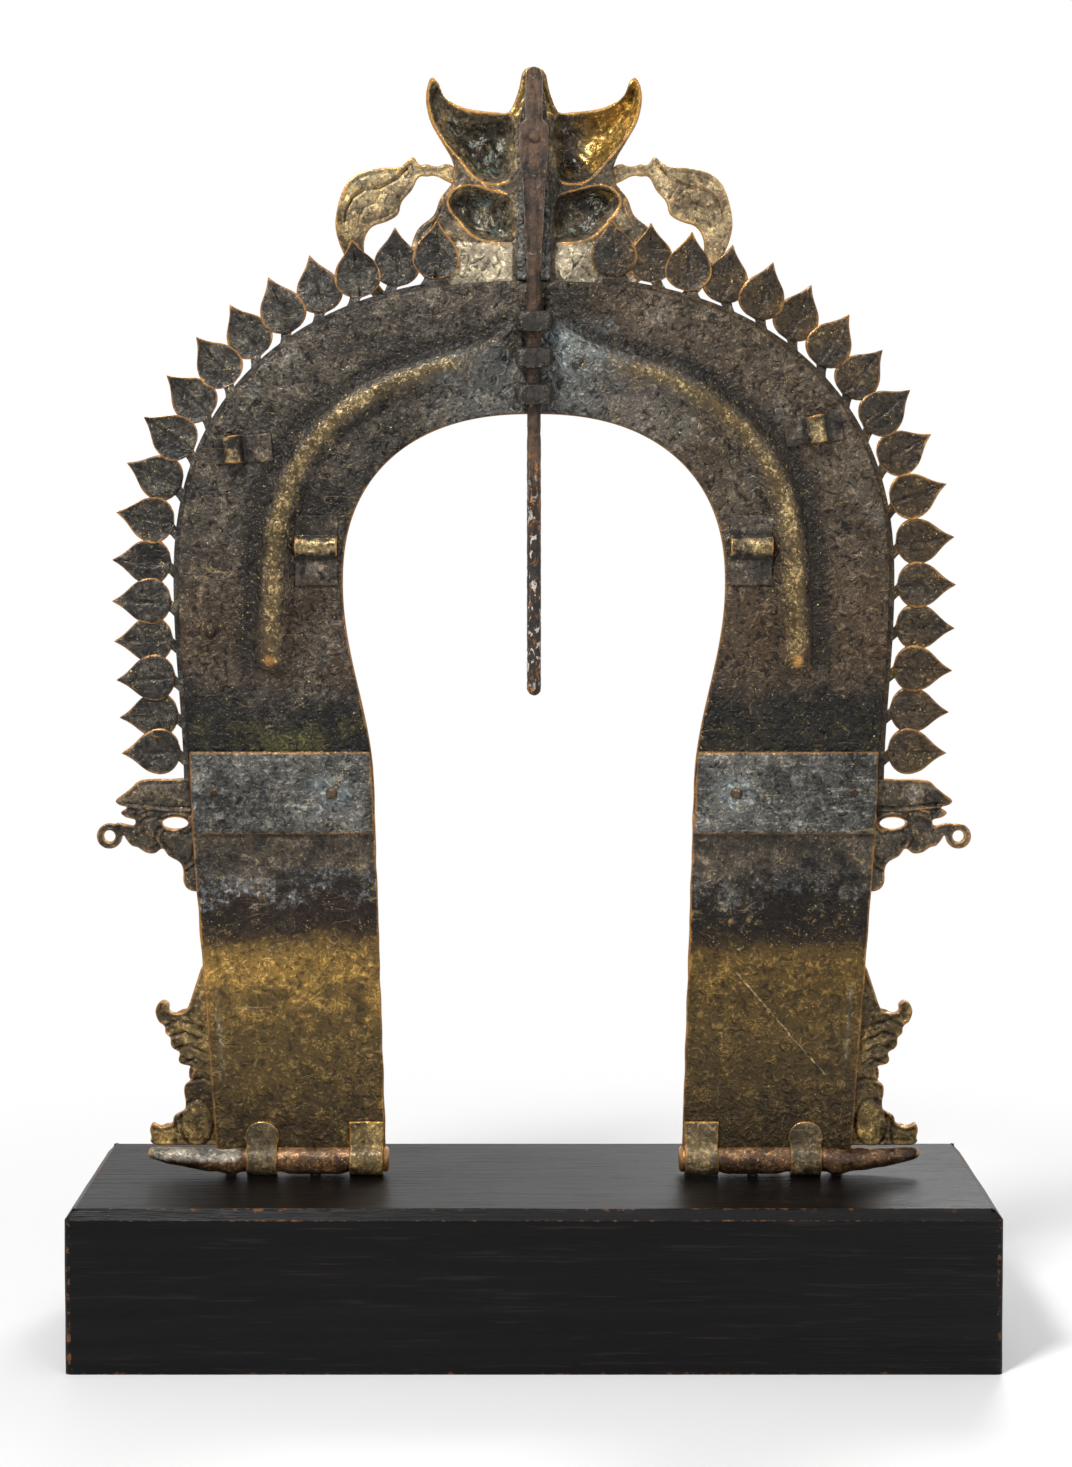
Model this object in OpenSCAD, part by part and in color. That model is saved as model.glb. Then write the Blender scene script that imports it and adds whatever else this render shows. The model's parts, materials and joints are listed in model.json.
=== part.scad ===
// Brass prabhavali: the arch that stands behind a temple image, on its wooden block.
// Millimetres. Origin at the middle of the block's underside, Z up.
// The plain back, which the photograph shows, faces -Y; the decorated front faces +Y.

/* [Wooden block] */
// Width of the block, left to right
block_w = 425; // [400:1:520]
// Depth of the block, front to back
block_d = 130; // [90:1:200]
// Height of the block
block_h = 75; // [55:1:120]
// Width of the bevel round the block's top
block_bevel = 4.5; // [1:0.5:10]
// Rounding of the block's upright corners
block_corner_r = 2.5; // [0.5:0.5:6]

/* [Arch plate] */
// Thickness of the crown and the legs
plate_t = 2.5; // [2:0.1:4]
// Height of the spring line above the block
spring_h = 281; // [260:1:310]
// Half width of the opening at the spring line
opening_half_w = 90; // [84:1:100]
// Rise of the opening above the spring line
opening_rise = 80; // [70:1:95]
// Half width of the opening at the splice
waist_half_w = 75.5; // [72:0.5:82]
// Half width of the opening at the block
foot_half_w = 70; // [66:0.5:75]
// Width of the crown at the spring line
band_w = 77.5; // [70:0.5:84]
// Height of the crown over the opening, on the centre line
crown_w = 62.5; // [56:0.5:68]
// Width of a leg at the splice
leg_top_w = 87.5; // [84:0.5:94]
// Width of a leg at the block
leg_foot_w = 80; // [76:0.5:90]
// Squareness of the arch's curves: 2 is an ellipse
arch_power = 2.34; // [2:0.01:2.6]
// Width of the raised lip on the front, along the opening
lip_w = 6; // [3:0.5:10]
// Height of that lip
lip_t = 1.6; // [0.5:0.1:3]

/* [Ridge] */
// Place of the ridge across the band: 0 at the opening, 1 at the outer edge
ridge_place = 0.45; // [0.4:0.01:0.5]
// Width of the ridge
ridge_w = 14; // [10:0.5:16]
// Height of the ridge on the back
ridge_t = 4.6; // [2:0.1:6]
// Height of the ridge's lower ends above the block
ridge_end_h = 241; // [225:1:255]

/* [Splice] */
// Height of the splice's middle above the block
splice_h = 182.5; // [170:0.5:190]
// Height of a splice plate
splice_plate_h = 39; // [30:1:44]
// Thickness of a splice plate
splice_plate_t = 1.8; // [1:0.1:3]
// Margin of a splice plate from the leg's edges
splice_margin = 0.8; // [0.5:0.1:4]
// Overlap of the crown's end and the leg's end
lap_h = 20; // [12:1:26]
// Rivets' distance from the opening
rivet_inset_inner = 20; // [12:1:30]
// Rivets' distance from the outer edge
rivet_inset_outer = 12; // [9:1:18]
// Diameter of the rivets' shanks
rivet_d = 3.6; // [3:0.1:5]
// Diameter of the rivets' heads
rivet_head_d = 5.8; // [5:0.1:8]
// Height of the rivets' heads
rivet_head_t = 1.7; // [1:0.1:2.5]

/* [Leaf border] */
// Leaves on each side
leaf_count = 17; // [12:1:20]
// Length of a leaf
leaf_len = 28; // [20:0.5:30]
// Width of a leaf
leaf_w = 21.5; // [15:0.5:24]
// Distance of a leaf's base from the plate's edge
leaf_stand = 3.8; // [3:0.1:8]
// Lean of the upper leaves towards the vertical, in degrees
leaf_lean = 11; // [0:1:20]
// Distance of the first leaf on the left from the centre line, along the edge
leaf_first_left = 46; // [40:1:60]
// Distance of the first leaf on the right from the centre line, along the edge
leaf_first_right = 38; // [36:1:60]
// Crowding of the right-hand leaves towards the crest: 0 is even
leaf_crowding = 0.1; // [0:0.01:0.15]
// Height of the last leaf above the splice's middle
leaf_last_rise = 20; // [10:1:30]
// Thickness of the leaf border
border_t = 2.2; // [1.5:0.1:4]
// Lap of the border, makaras and lions on the plate's front
edge_lap = 4.5; // [3:0.5:8]
// Width of the border's strip outside the plate's edge
strip_w = 2.6; // [1.5:0.1:5]

/* [Beasts] */
// Height of the makara castings
makara_h = 53.4; // [48:0.1:56]
// Thickness of the makara castings
makara_t = 4; // [2.5:0.1:6]
// Radius of the makara's trunk curl, outside
curl_r = 6; // [5:0.1:7]
// Radius of the round metal of the curl
curl_wire_r = 1.6; // [1:0.1:1.9]
// Height of the lion castings
lion_h = 86.5; // [80:0.5:92]
// Thickness of the lion castings
lion_t = 4.5; // [2.5:0.1:7]

/* [Feet] */
// Diameter of the foot bars
foot_bar_d = 12; // [9:0.5:15]
// Depth of the groove that takes the leg's lower edge
foot_groove = 2; // [1:0.1:3]
// Reach of a foot bar beyond the leg's outer edge
foot_reach = 33; // [32:0.5:40]
// Length of a foot bar's tapered outer end
foot_taper = 30; // [20:1:40]
// Thickness of the foot straps
foot_strap_t = 1.5; // [1:0.1:2.5]
// Width of the inner foot straps
inner_strap_w = 16; // [10:0.5:22]
// Top of the inner foot straps above the block
inner_strap_h = 26; // [20:0.5:40]
// Width of the middle foot straps
middle_strap_w = 17; // [10:0.5:22]
// Top of the middle foot straps above the block
middle_strap_h = 26; // [24:0.5:40]
// Distance of the middle foot straps from the opening
middle_strap_inset = 59; // [50:0.5:64]
// Diameter of the steel dowels under the foot bars
dowel_d = 5; // [4:0.5:6]
// Depth of a dowel in the block
dowel_depth = 35; // [20:1:50]
// Depth of a dowel in the foot bar
dowel_grip = 8; // [5:0.5:8.5]
// Distance of the inner dowel from the opening
dowel_inset_inner = 34; // [30:1:44]
// Distance of the outer dowel from the opening
dowel_inset_outer = 74; // [72:0.5:78]

/* [Strap loops] */
// Thickness of the strap loops' metal
loop_t = 1.3; // [1:0.1:2]
// Inside radius of the strap loops
loop_r = 3.2; // [2.6:0.1:4]
// Straight stand of the strap loops under their round
loop_stand = 2.2; // [1.5:0.1:4]
// Length of the outer loops' strips
outer_strip_l = 27; // [20:0.5:30]
// Width of the outer loops' strips
outer_strip_w = 13; // [8:0.5:18]
// Angle of the left outer loop about the spring line, in degrees
outer_loop_left_a = 25; // [18:0.5:32]
// Angle of the right outer loop about the spring line, in degrees
outer_loop_right_a = 29; // [18:0.5:32]
// Tilt of the left outer loop's strip, in degrees
outer_loop_left_tilt = 5; // [0:1:12]
// Tilt of the right outer loop's strip, in degrees
outer_loop_right_tilt = 8; // [0:1:12]
// Distance of the left hump from its strip's middle
outer_loop_left_off = 4.7; // [0:0.1:6]
// Distance of the right hump from its strip's middle
outer_loop_right_off = 1.4; // [0:0.1:6]
// Place of the outer loops across the band: 0 at the opening, 1 at the edge
outer_loop_place = 0.77; // [0.74:0.01:0.8]
// Length of the inner loops' strips, upright
inner_strip_l = 33; // [24:0.5:40]
// Width of the inner loops' strips
inner_strip_w = 20; // [10:0.5:21]
// Height of the inner loops above the spring line
inner_loop_rise = 18; // [8:0.5:24]
// Distance of the inner humps above their strips' middle
inner_loop_off = 2; // [0:0.1:6]
// Distance of the inner loops' middle from the opening
inner_loop_inset = 13.5; // [12.5:0.5:15]

/* [Rod and collars] */
// Diameter of the round rod
rod_d = 7; // [5:0.1:9]
// Height of the rod's free lower tip above the block
rod_tip_h = 229; // [200:1:260]
// Wear of the rod's free end, off its diameter
rod_wear = 0.5; // [0.4:0.05:0.8]
// Running clearance of the rod in its collars, on the radius
rod_clearance = 0.08; // [0.05:0.01:0.1]
// Metal of a collar between the rod and the crown
collar_web = 1.2; // [0.8:0.1:3]
// Metal of a collar on the rod's other sides
collar_wall = 5; // [2.5:0.1:6]
// Height of a collar
collar_h = 9; // [6:0.5:11]
// Drop of the first collar's middle below the crown's top
collar_drop = 19; // [14:0.5:22]
// Spacing of the collars
collar_pitch = 16.6; // [13:0.1:17]
// Thickness of the rod's flat bar
bar_t = 4.5; // [3:0.1:6]
// Width of the flat bar at its shoulders
bar_w = 14; // [10:0.5:18]
// Width of the tongue above the shoulders
tongue_w = 8; // [6:0.5:10]

/* [Crest] */
// Height of the crest above the crown's top
crest_h = 99; // [95:0.5:108]
// Gap between the crest's seat and the crown's top
seat_gap = 0.2; // [0.1:0.05:0.5]
// Gap between the crest and the leaf border
crest_gap = 0.4; // [0.3:0.05:1]
// Thickness of the crest's sheet
crest_t = 2.4; // [1.5:0.1:4]
// Half width of the crest's spine
spine_half_w = 8; // [7:0.5:10]
// Height of the crest's rivet above the crown's top
crest_rivet_rise = 66; // [60:0.5:70]
// Radius of the eye bowls at the sheet
eye_r = 16.5; // [13:0.5:17]
// Depth of the eye bowls
eye_depth = 14; // [8:0.5:15]
// Radius of the cheek bowls at the sheet
cheek_r = 14.5; // [11:0.5:15]
// Depth of the cheek bowls
cheek_depth = 11; // [6:0.5:12]
// Thickness of the side scrolls
scroll_t = 2.6; // [1.5:0.1:4]

/* [Fits] */
// Clearance of a dowel in the block, on the radius
dowel_clearance = 0.1; // [0.05:0.01:0.1]
// Clearance of a shank in its hole, on the radius
shank_clearance = 0.05; // [0.02:0.01:0.1]
// Half width of the gaps that close up where cast outlines meet
joint_fill = 0.4; // [0.1:0.1:0.8]
// Gap between the foot bar and what wraps or sits on it
wrap_gap = 0.1; // [0.05:0.05:0.3]

/* [Hidden] */
$fn = 48;
back_y = -plate_t / 2;
front_y = plate_t / 2;
border_y = front_y + border_t;
crest_y = border_y + crest_gap;
lap_end_h = splice_h - lap_h / 2;
crown_top_h = spring_h + opening_rise + crown_w;
foot_r = foot_bar_d / 2;
foot_c_h = foot_strap_t + foot_r;
foot_top_h = foot_c_h + foot_r;
leg_end_h = foot_top_h - foot_groove + wrap_gap;
rod_r = rod_d / 2;
free_rod_r = rod_r - rod_wear / 2;
collar_bore_r = rod_r + rod_clearance;
rod_y = back_y - collar_web - collar_bore_r;
spine_back_y = rod_y + bar_t / 2;
seat_h = crown_top_h + seat_gap;
crest_rivet_h = crown_top_h + crest_rivet_rise;
ridge_half = ridge_w / 2 / band_w;
lip_share = lip_w / band_w;
crest_k = crest_h / 99;

// Ease from 0 to 1
function ease(q) = (1 - cos(180 * min(max(q, 0), 1))) / 2;

// Distance from the spring line's middle to the arch's curve, along a ray at angle a
function ray(a, half_w, rise) =
  pow(pow(abs(cos(a)) / half_w, arch_power) + pow(abs(sin(a)) / rise, arch_power), -1 / arch_power);

// A point of the arch on a ray, at share s of the band
function arch_point(a, s) =
  let (near = ray(a, opening_half_w, opening_rise))
  let (far = ray(a, opening_half_w + band_w, opening_rise + crown_w))
  let (r = near + s * (far - near))
  [r * cos(a), spring_h + r * sin(a)];

// Half width of the opening below the spring line, at height h
function inner_half(h) =
  h > splice_h
    ? waist_half_w + (opening_half_w - waist_half_w) * ease((h - splice_h) / (spring_h - splice_h))
    : foot_half_w + (waist_half_w - foot_half_w) * h / splice_h;

// Half width of the plate below the spring line, at height h
function outer_half(h) =
  h > splice_h
    ? waist_half_w + leg_top_w
      + (opening_half_w + band_w - waist_half_w - leg_top_w) * ease((h - splice_h) / (spring_h - splice_h))
    : foot_half_w + leg_foot_w + (waist_half_w + leg_top_w - foot_half_w - leg_foot_w) * h / splice_h;

// Half width of the opening above the spring line, at height h
function arch_inner_half(h) =
  opening_half_w * pow(1 - pow(min((h - spring_h) / opening_rise, 1), arch_power), 1 / arch_power);

// A closed smooth curve through the given points
function smooth(p, steps = 3) = [
  for (i = [0:len(p) - 1])
    let (n = len(p))
    let (a = p[(i + n - 1) % n])
    let (b = p[i])
    let (c = p[(i + 1) % n])
    let (d = p[(i + 2) % n])
    for (k = [0:steps - 1])
      let (t = k / steps)
      0.5 * (2 * b + t * (c - a) + t * t * (2 * a - 5 * b + 4 * c - d) + t * t * t * (3 * b - a - 3 * c + d))
];

// Stands a flat outline, drawn in x and height, upright with its back at y, raised onto the block
module upright(y, t) {
  translate([0, y + t, block_h])
    rotate([90, 0, 0])
      linear_extrude(t)
        children();
}

// Joins overlapping outlines into one, closing the finest gaps as molten metal would
module joined() {
  offset(delta = -joint_fill)
    offset(delta = joint_fill)
      children();
}

// Shows a right-hand piece, or its mirror image on the left
module side(s) {
  mirror([s < 0 ? 1 : 0, 0, 0])
    children();
}

// A rod along Y through x and height h, from y0 to y1
module cross_pin(x, h, r, y0, y1) {
  translate([x, y1, block_h + h])
    rotate([90, 0, 0])
      cylinder(h = y1 - y0, r = r);
}

// A rivet's round head: base_y is where it lies on the work, out is the way it bulges
module round_head(x, h, base_y, out) {
  cap_r = (rivet_head_t * rivet_head_t + rivet_head_d * rivet_head_d / 4) / (2 * rivet_head_t);
  intersection() {
    translate([x, base_y - out * (cap_r - rivet_head_t), block_h + h])
      sphere(r = cap_r);
    cross_pin(x, h, rivet_head_d, base_y + min(0, out * rivet_head_t), base_y + max(0, out * rivet_head_t));
  }
}

module rivet(x, h, y0, y1) {
  cross_pin(x, h, rivet_d / 2, y0, y1);
  round_head(x, h, y0, -1);
  round_head(x, h, y1, 1);
}

module rivet_hole(x, h) {
  cross_pin(x, h, rivet_d / 2 + shank_clearance, -plate_t - splice_plate_t, plate_t);
}

// The block: a stained wooden box with a bevelled top and sockets for the dowels
module block() {
  color([0.03, 0.028, 0.027])
    difference() {
      intersection() {
        upright(-block_d / 2, block_d)
          translate([0, -block_h])
            bevelled_side(block_w);
        rotate([0, 0, 90])
          upright(-block_w / 2, block_w)
            translate([0, -block_h])
              bevelled_side(block_d);
        linear_extrude(block_h)
          offset(r = block_corner_r)
            square([block_w - 2 * block_corner_r, block_d - 2 * block_corner_r], center = true);
      }
      for (x = dowel_places())
        translate([x, 0, block_h - dowel_depth - 1])
          cylinder(h = dowel_depth + 2, r = dowel_d / 2 + dowel_clearance);
    }
}

module bevelled_side(w) {
  polygon([
    [-w / 2, 0], [w / 2, 0], [w / 2, block_h - block_bevel], [w / 2 - block_bevel, block_h],
    [-w / 2 + block_bevel, block_h], [-w / 2, block_h - block_bevel]
  ]);
}

function dowel_places() =
  let (near = foot_half_w + dowel_inset_inner)
  let (far = foot_half_w + dowel_inset_outer)
  [-far, -near, near, far];

// Rows of the crown, from the left end over the arch to the right end: [angle] or [side, height]
side_steps = 10;
arc_steps = 44;
crown_rows = concat(
  [for (i = [0:side_steps - 1]) [-1, lap_end_h + (spring_h - lap_end_h) * i / side_steps]],
  [for (i = [0:arc_steps]) [180 - 180 * i / arc_steps]],
  [for (i = [1:side_steps]) [1, spring_h - (spring_h - lap_end_h) * i / side_steps]]
);

// Columns of the crown, as shares of the band from the opening to the outer edge
crown_columns = concat(
  [0, lip_share / 2, lip_share, (lip_share + ridge_place - ridge_half) / 2],
  [for (k = [-4:4]) ridge_place + ridge_half * k / 4],
  [(1 + ridge_place + ridge_half) / 2, 1]
);

function crown_place(row, s) =
  len(row) == 1
    ? arch_point(row[0], s)
    : [row[0] * (inner_half(row[1]) + s * (outer_half(row[1]) - inner_half(row[1]))), row[1]];

// Height of the ridge: it dies away at its lower ends and where the collars stand
function ridge_at(p, s) =
  let (q = (s - ridge_place) / ridge_half)
  abs(q) >= 1 ? 0
    : ridge_t * pow(cos(90 * q), 2) * ease((p[1] - ridge_end_h) / 14) * ease((abs(p[0]) - 11) / 20);

function lip_at(s) = s >= lip_share ? 0 : lip_t * (s > 0 ? 1 : 0.6);

function crown_back(row, s) =
  let (p = crown_place(row, s))
  [p[0], back_y - ridge_at(p, s), p[1]];

function crown_front(row, s) =
  let (p = crown_place(row, s))
  [p[0], front_y - ridge_at(p, s) + lip_at(s), p[1]];

// The crown's sheet, raised along the ridge on the back, so grooved along it on the front
module crown_sheet() {
  rows = len(crown_rows) - 1;
  cols = len(crown_columns) - 1;
  n = cols + 1;
  f = (rows + 1) * n;
  translate([0, 0, block_h])
    polyhedron(
      points = concat(
        [for (row = crown_rows) for (s = crown_columns) crown_back(row, s)],
        [for (row = crown_rows) for (s = crown_columns) crown_front(row, s)]
      ),
      faces = concat(
        [for (i = [0:rows - 1]) for (j = [0:cols - 1]) let (k = i * n + j) [k, k + 1, k + n + 1]],
        [for (i = [0:rows - 1]) for (j = [0:cols - 1]) let (k = i * n + j) [k, k + n + 1, k + n]],
        [for (i = [0:rows - 1]) for (j = [0:cols - 1]) let (k = f + i * n + j) [k, k + n + 1, k + 1]],
        [for (i = [0:rows - 1]) for (j = [0:cols - 1]) let (k = f + i * n + j) [k, k + n, k + n + 1]],
        [for (i = [0:rows - 1]) let (k = i * n) [k, k + n, f + k + n, f + k]],
        [for (i = [0:rows - 1]) let (k = i * n + cols) [k + n, k, f + k, f + k + n]],
        [for (j = [0:cols - 1]) [j + 1, j, f + j, f + j + 1]],
        [for (j = [0:cols - 1]) let (k = rows * n + j) [k, k + 1, f + k + 1, f + k]]
      )
    );
}

stud_x = -(opening_half_w + band_w - 15);
stud_h = spring_h - 22;

module crown() {
  color([0.25, 0.2, 0.13])
    difference() {
      crown_sheet();
      for (s = [-1, 1]) {
        translate([s > 0 ? 0 : -300, 0, block_h])
          cube([300, 20, splice_h + lap_h / 2 + 0.1]);
        rivet_hole(s * rivet_x_inner(), splice_h);
        rivet_hole(s * rivet_x_outer(), splice_h);
      }
      rivet_hole(stud_x, stud_h);
    }
}

function rivet_x_inner() = waist_half_w + rivet_inset_inner;
function rivet_x_outer() = waist_half_w + leg_top_w - rivet_inset_outer;

module crown_stud() {
  color([0.5, 0.33, 0.15])
    rivet(stud_x, stud_h, back_y, front_y);
}

// A leg: half lapped to the crown's end, with a lip and a raised panel on its front
module leg(s) {
  top_h = splice_h + lap_h / 2;
  lip_end_h = foot_top_h + 1;
  panel_low_h = leg_end_h + 22;
  panel_top_h = lap_end_h - 12;
  color([0.42, 0.32, 0.15])
    side(s)
      difference() {
        union() {
          upright(back_y, plate_t)
            polygon([
              [inner_half(leg_end_h), leg_end_h], [outer_half(leg_end_h), leg_end_h],
              [outer_half(splice_h), splice_h], [outer_half(top_h), top_h],
              [inner_half(top_h), top_h], [inner_half(splice_h), splice_h]
            ]);
          upright(front_y - 0.5, lip_t + 0.5)
            polygon([
              [inner_half(lip_end_h), lip_end_h], [inner_half(lip_end_h) + lip_w, lip_end_h],
              [inner_half(splice_h) + lip_w, splice_h], [inner_half(top_h) + lip_w, top_h],
              [inner_half(top_h), top_h], [inner_half(splice_h), splice_h]
            ]);
          upright(front_y - 0.5, lip_t + 0.5)
            polygon([
              [inner_half(panel_low_h) + lip_w + 8, panel_low_h],
              [outer_half(panel_low_h) - edge_lap - 8, panel_low_h],
              [outer_half(panel_top_h) - edge_lap - 8, panel_top_h],
              [inner_half(panel_top_h) + lip_w + 8, panel_top_h]
            ]);
        }
        translate([0, -20, block_h + lap_end_h - 0.1])
          cube([300, 20, 2 * lap_h]);
        rivet_hole(rivet_x_inner(), splice_h);
        rivet_hole(rivet_x_outer(), splice_h);
      }
}

module splice_plate(s) {
  low_h = splice_h - splice_plate_h / 2;
  top_h = splice_h + splice_plate_h / 2;
  color([0.2, 0.2, 0.2])
    side(s)
      difference() {
        upright(back_y - splice_plate_t, splice_plate_t)
          polygon([
            [inner_half(low_h) + splice_margin, low_h], [outer_half(low_h) - splice_margin, low_h],
            [outer_half(splice_h) - splice_margin, splice_h], [outer_half(top_h) - splice_margin, top_h],
            [inner_half(top_h) + splice_margin, top_h], [inner_half(splice_h) + splice_margin, splice_h]
          ]);
        rivet_hole(rivet_x_inner(), splice_h);
        rivet_hole(rivet_x_outer(), splice_h);
      }
}

module splice_rivets(s) {
  color([0.5, 0.33, 0.15])
    for (x = [rivet_x_inner(), rivet_x_outer()])
      rivet(s * x, splice_h, back_y - splice_plate_t, front_y);
}

// The plate's outer edge on the right, from the centre line down to the splice
edge_points = concat(
  [for (i = [0:45]) arch_point(90 - 2 * i, 1)],
  [for (i = [1:12]) let (h = spring_h - (spring_h - splice_h) * i / 12) [outer_half(h), h]]
);

// Length of the edge up to point i
function edge_length(i) = i == 0 ? 0 : edge_length(i - 1) + norm(edge_points[i] - edge_points[i - 1]);

edge_x = [for (i = [0:len(edge_points) - 1]) [edge_length(i), edge_points[i][0]]];
edge_h = [for (i = [0:len(edge_points) - 1]) [edge_length(i), edge_points[i][1]]];
leaf_end = edge_length(len(edge_points) - 1) - leaf_last_rise;

function edge_at(l) = [lookup(l, edge_x), lookup(l, edge_h)];
function edge_along(l) = (edge_at(l + 2) - edge_at(l - 2)) / norm(edge_at(l + 2) - edge_at(l - 2));
function edge_out(l) = [-edge_along(l)[1], edge_along(l)[0]];

// Half width of a leaf at share q of its length
function leaf_half(q) =
  let (round = pow(max(sin(180 * pow(q, 0.64)), 0), 0.86), tip = 0.42 * ease((q - 0.55) / 0.42))
    leaf_w / 2 * round * (1 - tip);

module leaf_shape() {
  steps = 12;
  polygon(concat(
    [for (i = [0:steps]) let (q = i / steps) [leaf_half(q), leaf_len * q]],
    [for (i = [steps - 1:-1:1]) let (q = i / steps) [-leaf_half(q), leaf_len * q]]
  ));
}

// A leaf and the short stem that joins it to the strip, a little farther down the arch
module leaf(l) {
  p = edge_at(l);
  along = edge_along(l);
  out = edge_out(l);
  base = p + leaf_stand * out;
  turn = atan2(out[1], out[0]) - 90 + leaf_lean * ease((p[1] - spring_h) / 60);
  foot = edge_at(l + 8);
  translate(base)
    rotate(turn)
      leaf_shape();
  polygon([
    base + 3.4 * out - 4.5 * along, base + 3.4 * out + 4 * along,
    foot + 3 * edge_along(l + 8), foot - 5.5 * edge_along(l + 8)
  ]);
}

module leaf_border(s) {
  first = s < 0 ? leaf_first_left : leaf_first_right;
  crowding = s < 0 ? 0 : leaf_crowding;
  ends = [for (k = [0:48]) first - 6 + (leaf_end + 14 - first) * k / 48];
  color([0.22, 0.17, 0.1])
    side(s)
      upright(front_y, border_t)
        joined() {
          polygon(concat(
            [for (l = ends) edge_at(l) - edge_lap * edge_out(l)],
            [for (k = [48:-1:0]) edge_at(ends[k]) + strip_w * edge_out(ends[k])]
          ));
          for (i = [0:leaf_count - 1])
            let (q = i / (leaf_count - 1))
              leaf(first + (leaf_end - first) * q * (1 - crowding * (1 - q)));
        }
}

// A makara's head and body, looking outwards, with its trunk curled under it
module makara(s) {
  x0 = outer_half(splice_h);
  k = makara_h / 53.4;
  curl = [x0 + 38.2 * k, splice_h - 21 * k];
  outline = [
    [-6.5, 4.5], [10, 6], [23, 5.6], [27.5, 2.2], [31, -0.6], [35.2, -4], [33.4, -6.2], [29.6, -7.4],
    [32.8, -9.6], [30.4, -12], [26, -13.2], [26.6, -16], [30.4, -15.4], [34.6, -14.8], [37, -17], [35, -20],
    [32, -19.6], [30.2, -22.6], [27.6, -25.6], [24.8, -26.3], [21, -28.8], [16.7, -29.2], [13, -26.8],
    [10.2, -30.4], [5, -33.4], [3.3, -37.2], [3.3, -42.4], [1.2, -46.2], [-4, -47.4], [-9.5, -44], [-7.5, -20]
  ];
  color([0.24, 0.18, 0.1])
    side(s)
      upright(front_y, makara_t)
        joined() {
          difference() {
            translate([x0, splice_h])
              polygon(smooth(k * outline));
            translate([x0 + 7 * k, splice_h - 14.8 * k])
              scale([2.2, 1])
                circle(r = 2.8 * k);
          }
          difference() {
            translate(curl)
              circle(r = curl_r);
            translate(curl)
              circle(r = curl_r - 2 * curl_wire_r);
          }
        }
}

// A rearing lion, seen from the side, that stands on the foot bar against the leg
module lion(s) {
  low_h = foot_top_h + wrap_gap;
  x0 = outer_half(low_h);
  k = lion_h / 86.5;
  slope = outer_half(low_h + lion_h) - x0;
  outline = [
    [9.5, 78], [13.6, 66], [16.4, 63.6], [20.8, 63.4], [22.6, 64.8], [22.4, 67.4], [24.8, 69.4], [27.6, 68],
    [29, 64.2], [27.6, 59.6], [24.6, 57], [24.3, 53.8], [22, 51.8], [21.8, 48.2], [20, 46], [17.4, 44.6],
    [18.2, 40.8], [16.2, 38.8], [12.4, 38], [10.9, 35.6], [12, 33], [11.4, 31.2], [15, 29.2], [15.6, 25.6],
    [14.8, 20.6], [15.6, 16.8], [20.2, 14.2], [21.4, 10.6], [25.2, 8.9], [28.6, 9.6], [30.8, 10.6], [32, 7.4],
    [31.2, 4], [31, 1], [20, -2], [-6.5, -2]
  ];
  color([0.36, 0.25, 0.12])
    side(s) {
      upright(front_y, lion_t)
        translate([x0, low_h])
          difference() {
            polygon(smooth(concat([[slope - edge_lap, lion_h - 0.5], [slope, lion_h]], k * outline)));
            translate([-60, -40])
              square([200, 40]);
          }
      for (lump = k * [[14, 57, 9], [6.5, 34, 8], [8, 12, 8], [23, 5.5, 5]])
        intersection() {
          translate([x0 + lump[0], front_y + lion_t - 0.5 * lump[2], block_h + low_h + lump[1]])
            sphere(r = lump[2]);
          translate([0, front_y + lion_t - 1, block_h + low_h])
            cube([400, 40, 200]);
        }
    }
}

// A foot bar: round, tapered at its outer end, grooved on top for the leg
module foot_bar(s) {
  x0 = foot_half_w - 1;
  x1 = outer_half(foot_top_h) + foot_reach - foot_taper;
  tip_r = foot_r / 3;
  color([0.45, 0.26, 0.12])
    side(s)
      difference() {
        translate([0, 0, block_h]) {
          translate([x0, 0, foot_c_h])
            rotate([0, 90, 0])
              cylinder(h = x1 - x0 + 0.01, r = foot_r);
          hull() {
            translate([x1, 0, foot_c_h])
              rotate([0, 90, 0])
                cylinder(h = 0.01, r = foot_r);
            translate([x1 + foot_taper - tip_r, 0, foot_top_h - tip_r])
              rotate([0, 90, 0])
                cylinder(h = tip_r, r1 = tip_r, r2 = tip_r / 2);
          }
        }
        translate([0, back_y - wrap_gap, block_h + foot_top_h - foot_groove])
          cube([outer_half(foot_top_h) + 1, plate_t + 2 * wrap_gap, 2 * foot_r]);
        for (x = dowel_places())
          translate([abs(x), 0, block_h])
            cylinder(h = foot_strap_t + dowel_grip + 0.2, r = dowel_d / 2 + shank_clearance);
      }
}

// A strap, seen from its end: a tongue on the leg's back that runs round and under the foot bar
module strap_profile(top_h) {
  in_r = foot_r + wrap_gap;
  out_r = foot_r + wrap_gap + foot_strap_t;
  difference() {
    union() {
      intersection() {
        translate([0, foot_c_h])
          circle(r = out_r);
        polygon([
          [-50, 0], [in_r - 1, 0], [in_r - 1, foot_c_h - 1], [back_y, foot_c_h], [back_y, 60], [-50, 60]
        ]);
      }
      translate([back_y - foot_strap_t, foot_c_h])
        square([foot_strap_t, top_h - foot_c_h]);
    }
    translate([0, foot_c_h])
      circle(r = in_r);
  }
}

// The strap profile, drawn in y and height, run along X from x0 over width w
module along_x(x0, w) {
  translate([x0, 0, block_h])
    rotate([90, 0, 90])
      linear_extrude(w)
        children();
}

module foot_strap_inner(s) {
  color([0.46, 0.3, 0.13])
    side(s)
      along_x(foot_half_w + 1.5, inner_strap_w)
        strap_profile(inner_strap_h);
}

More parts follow.
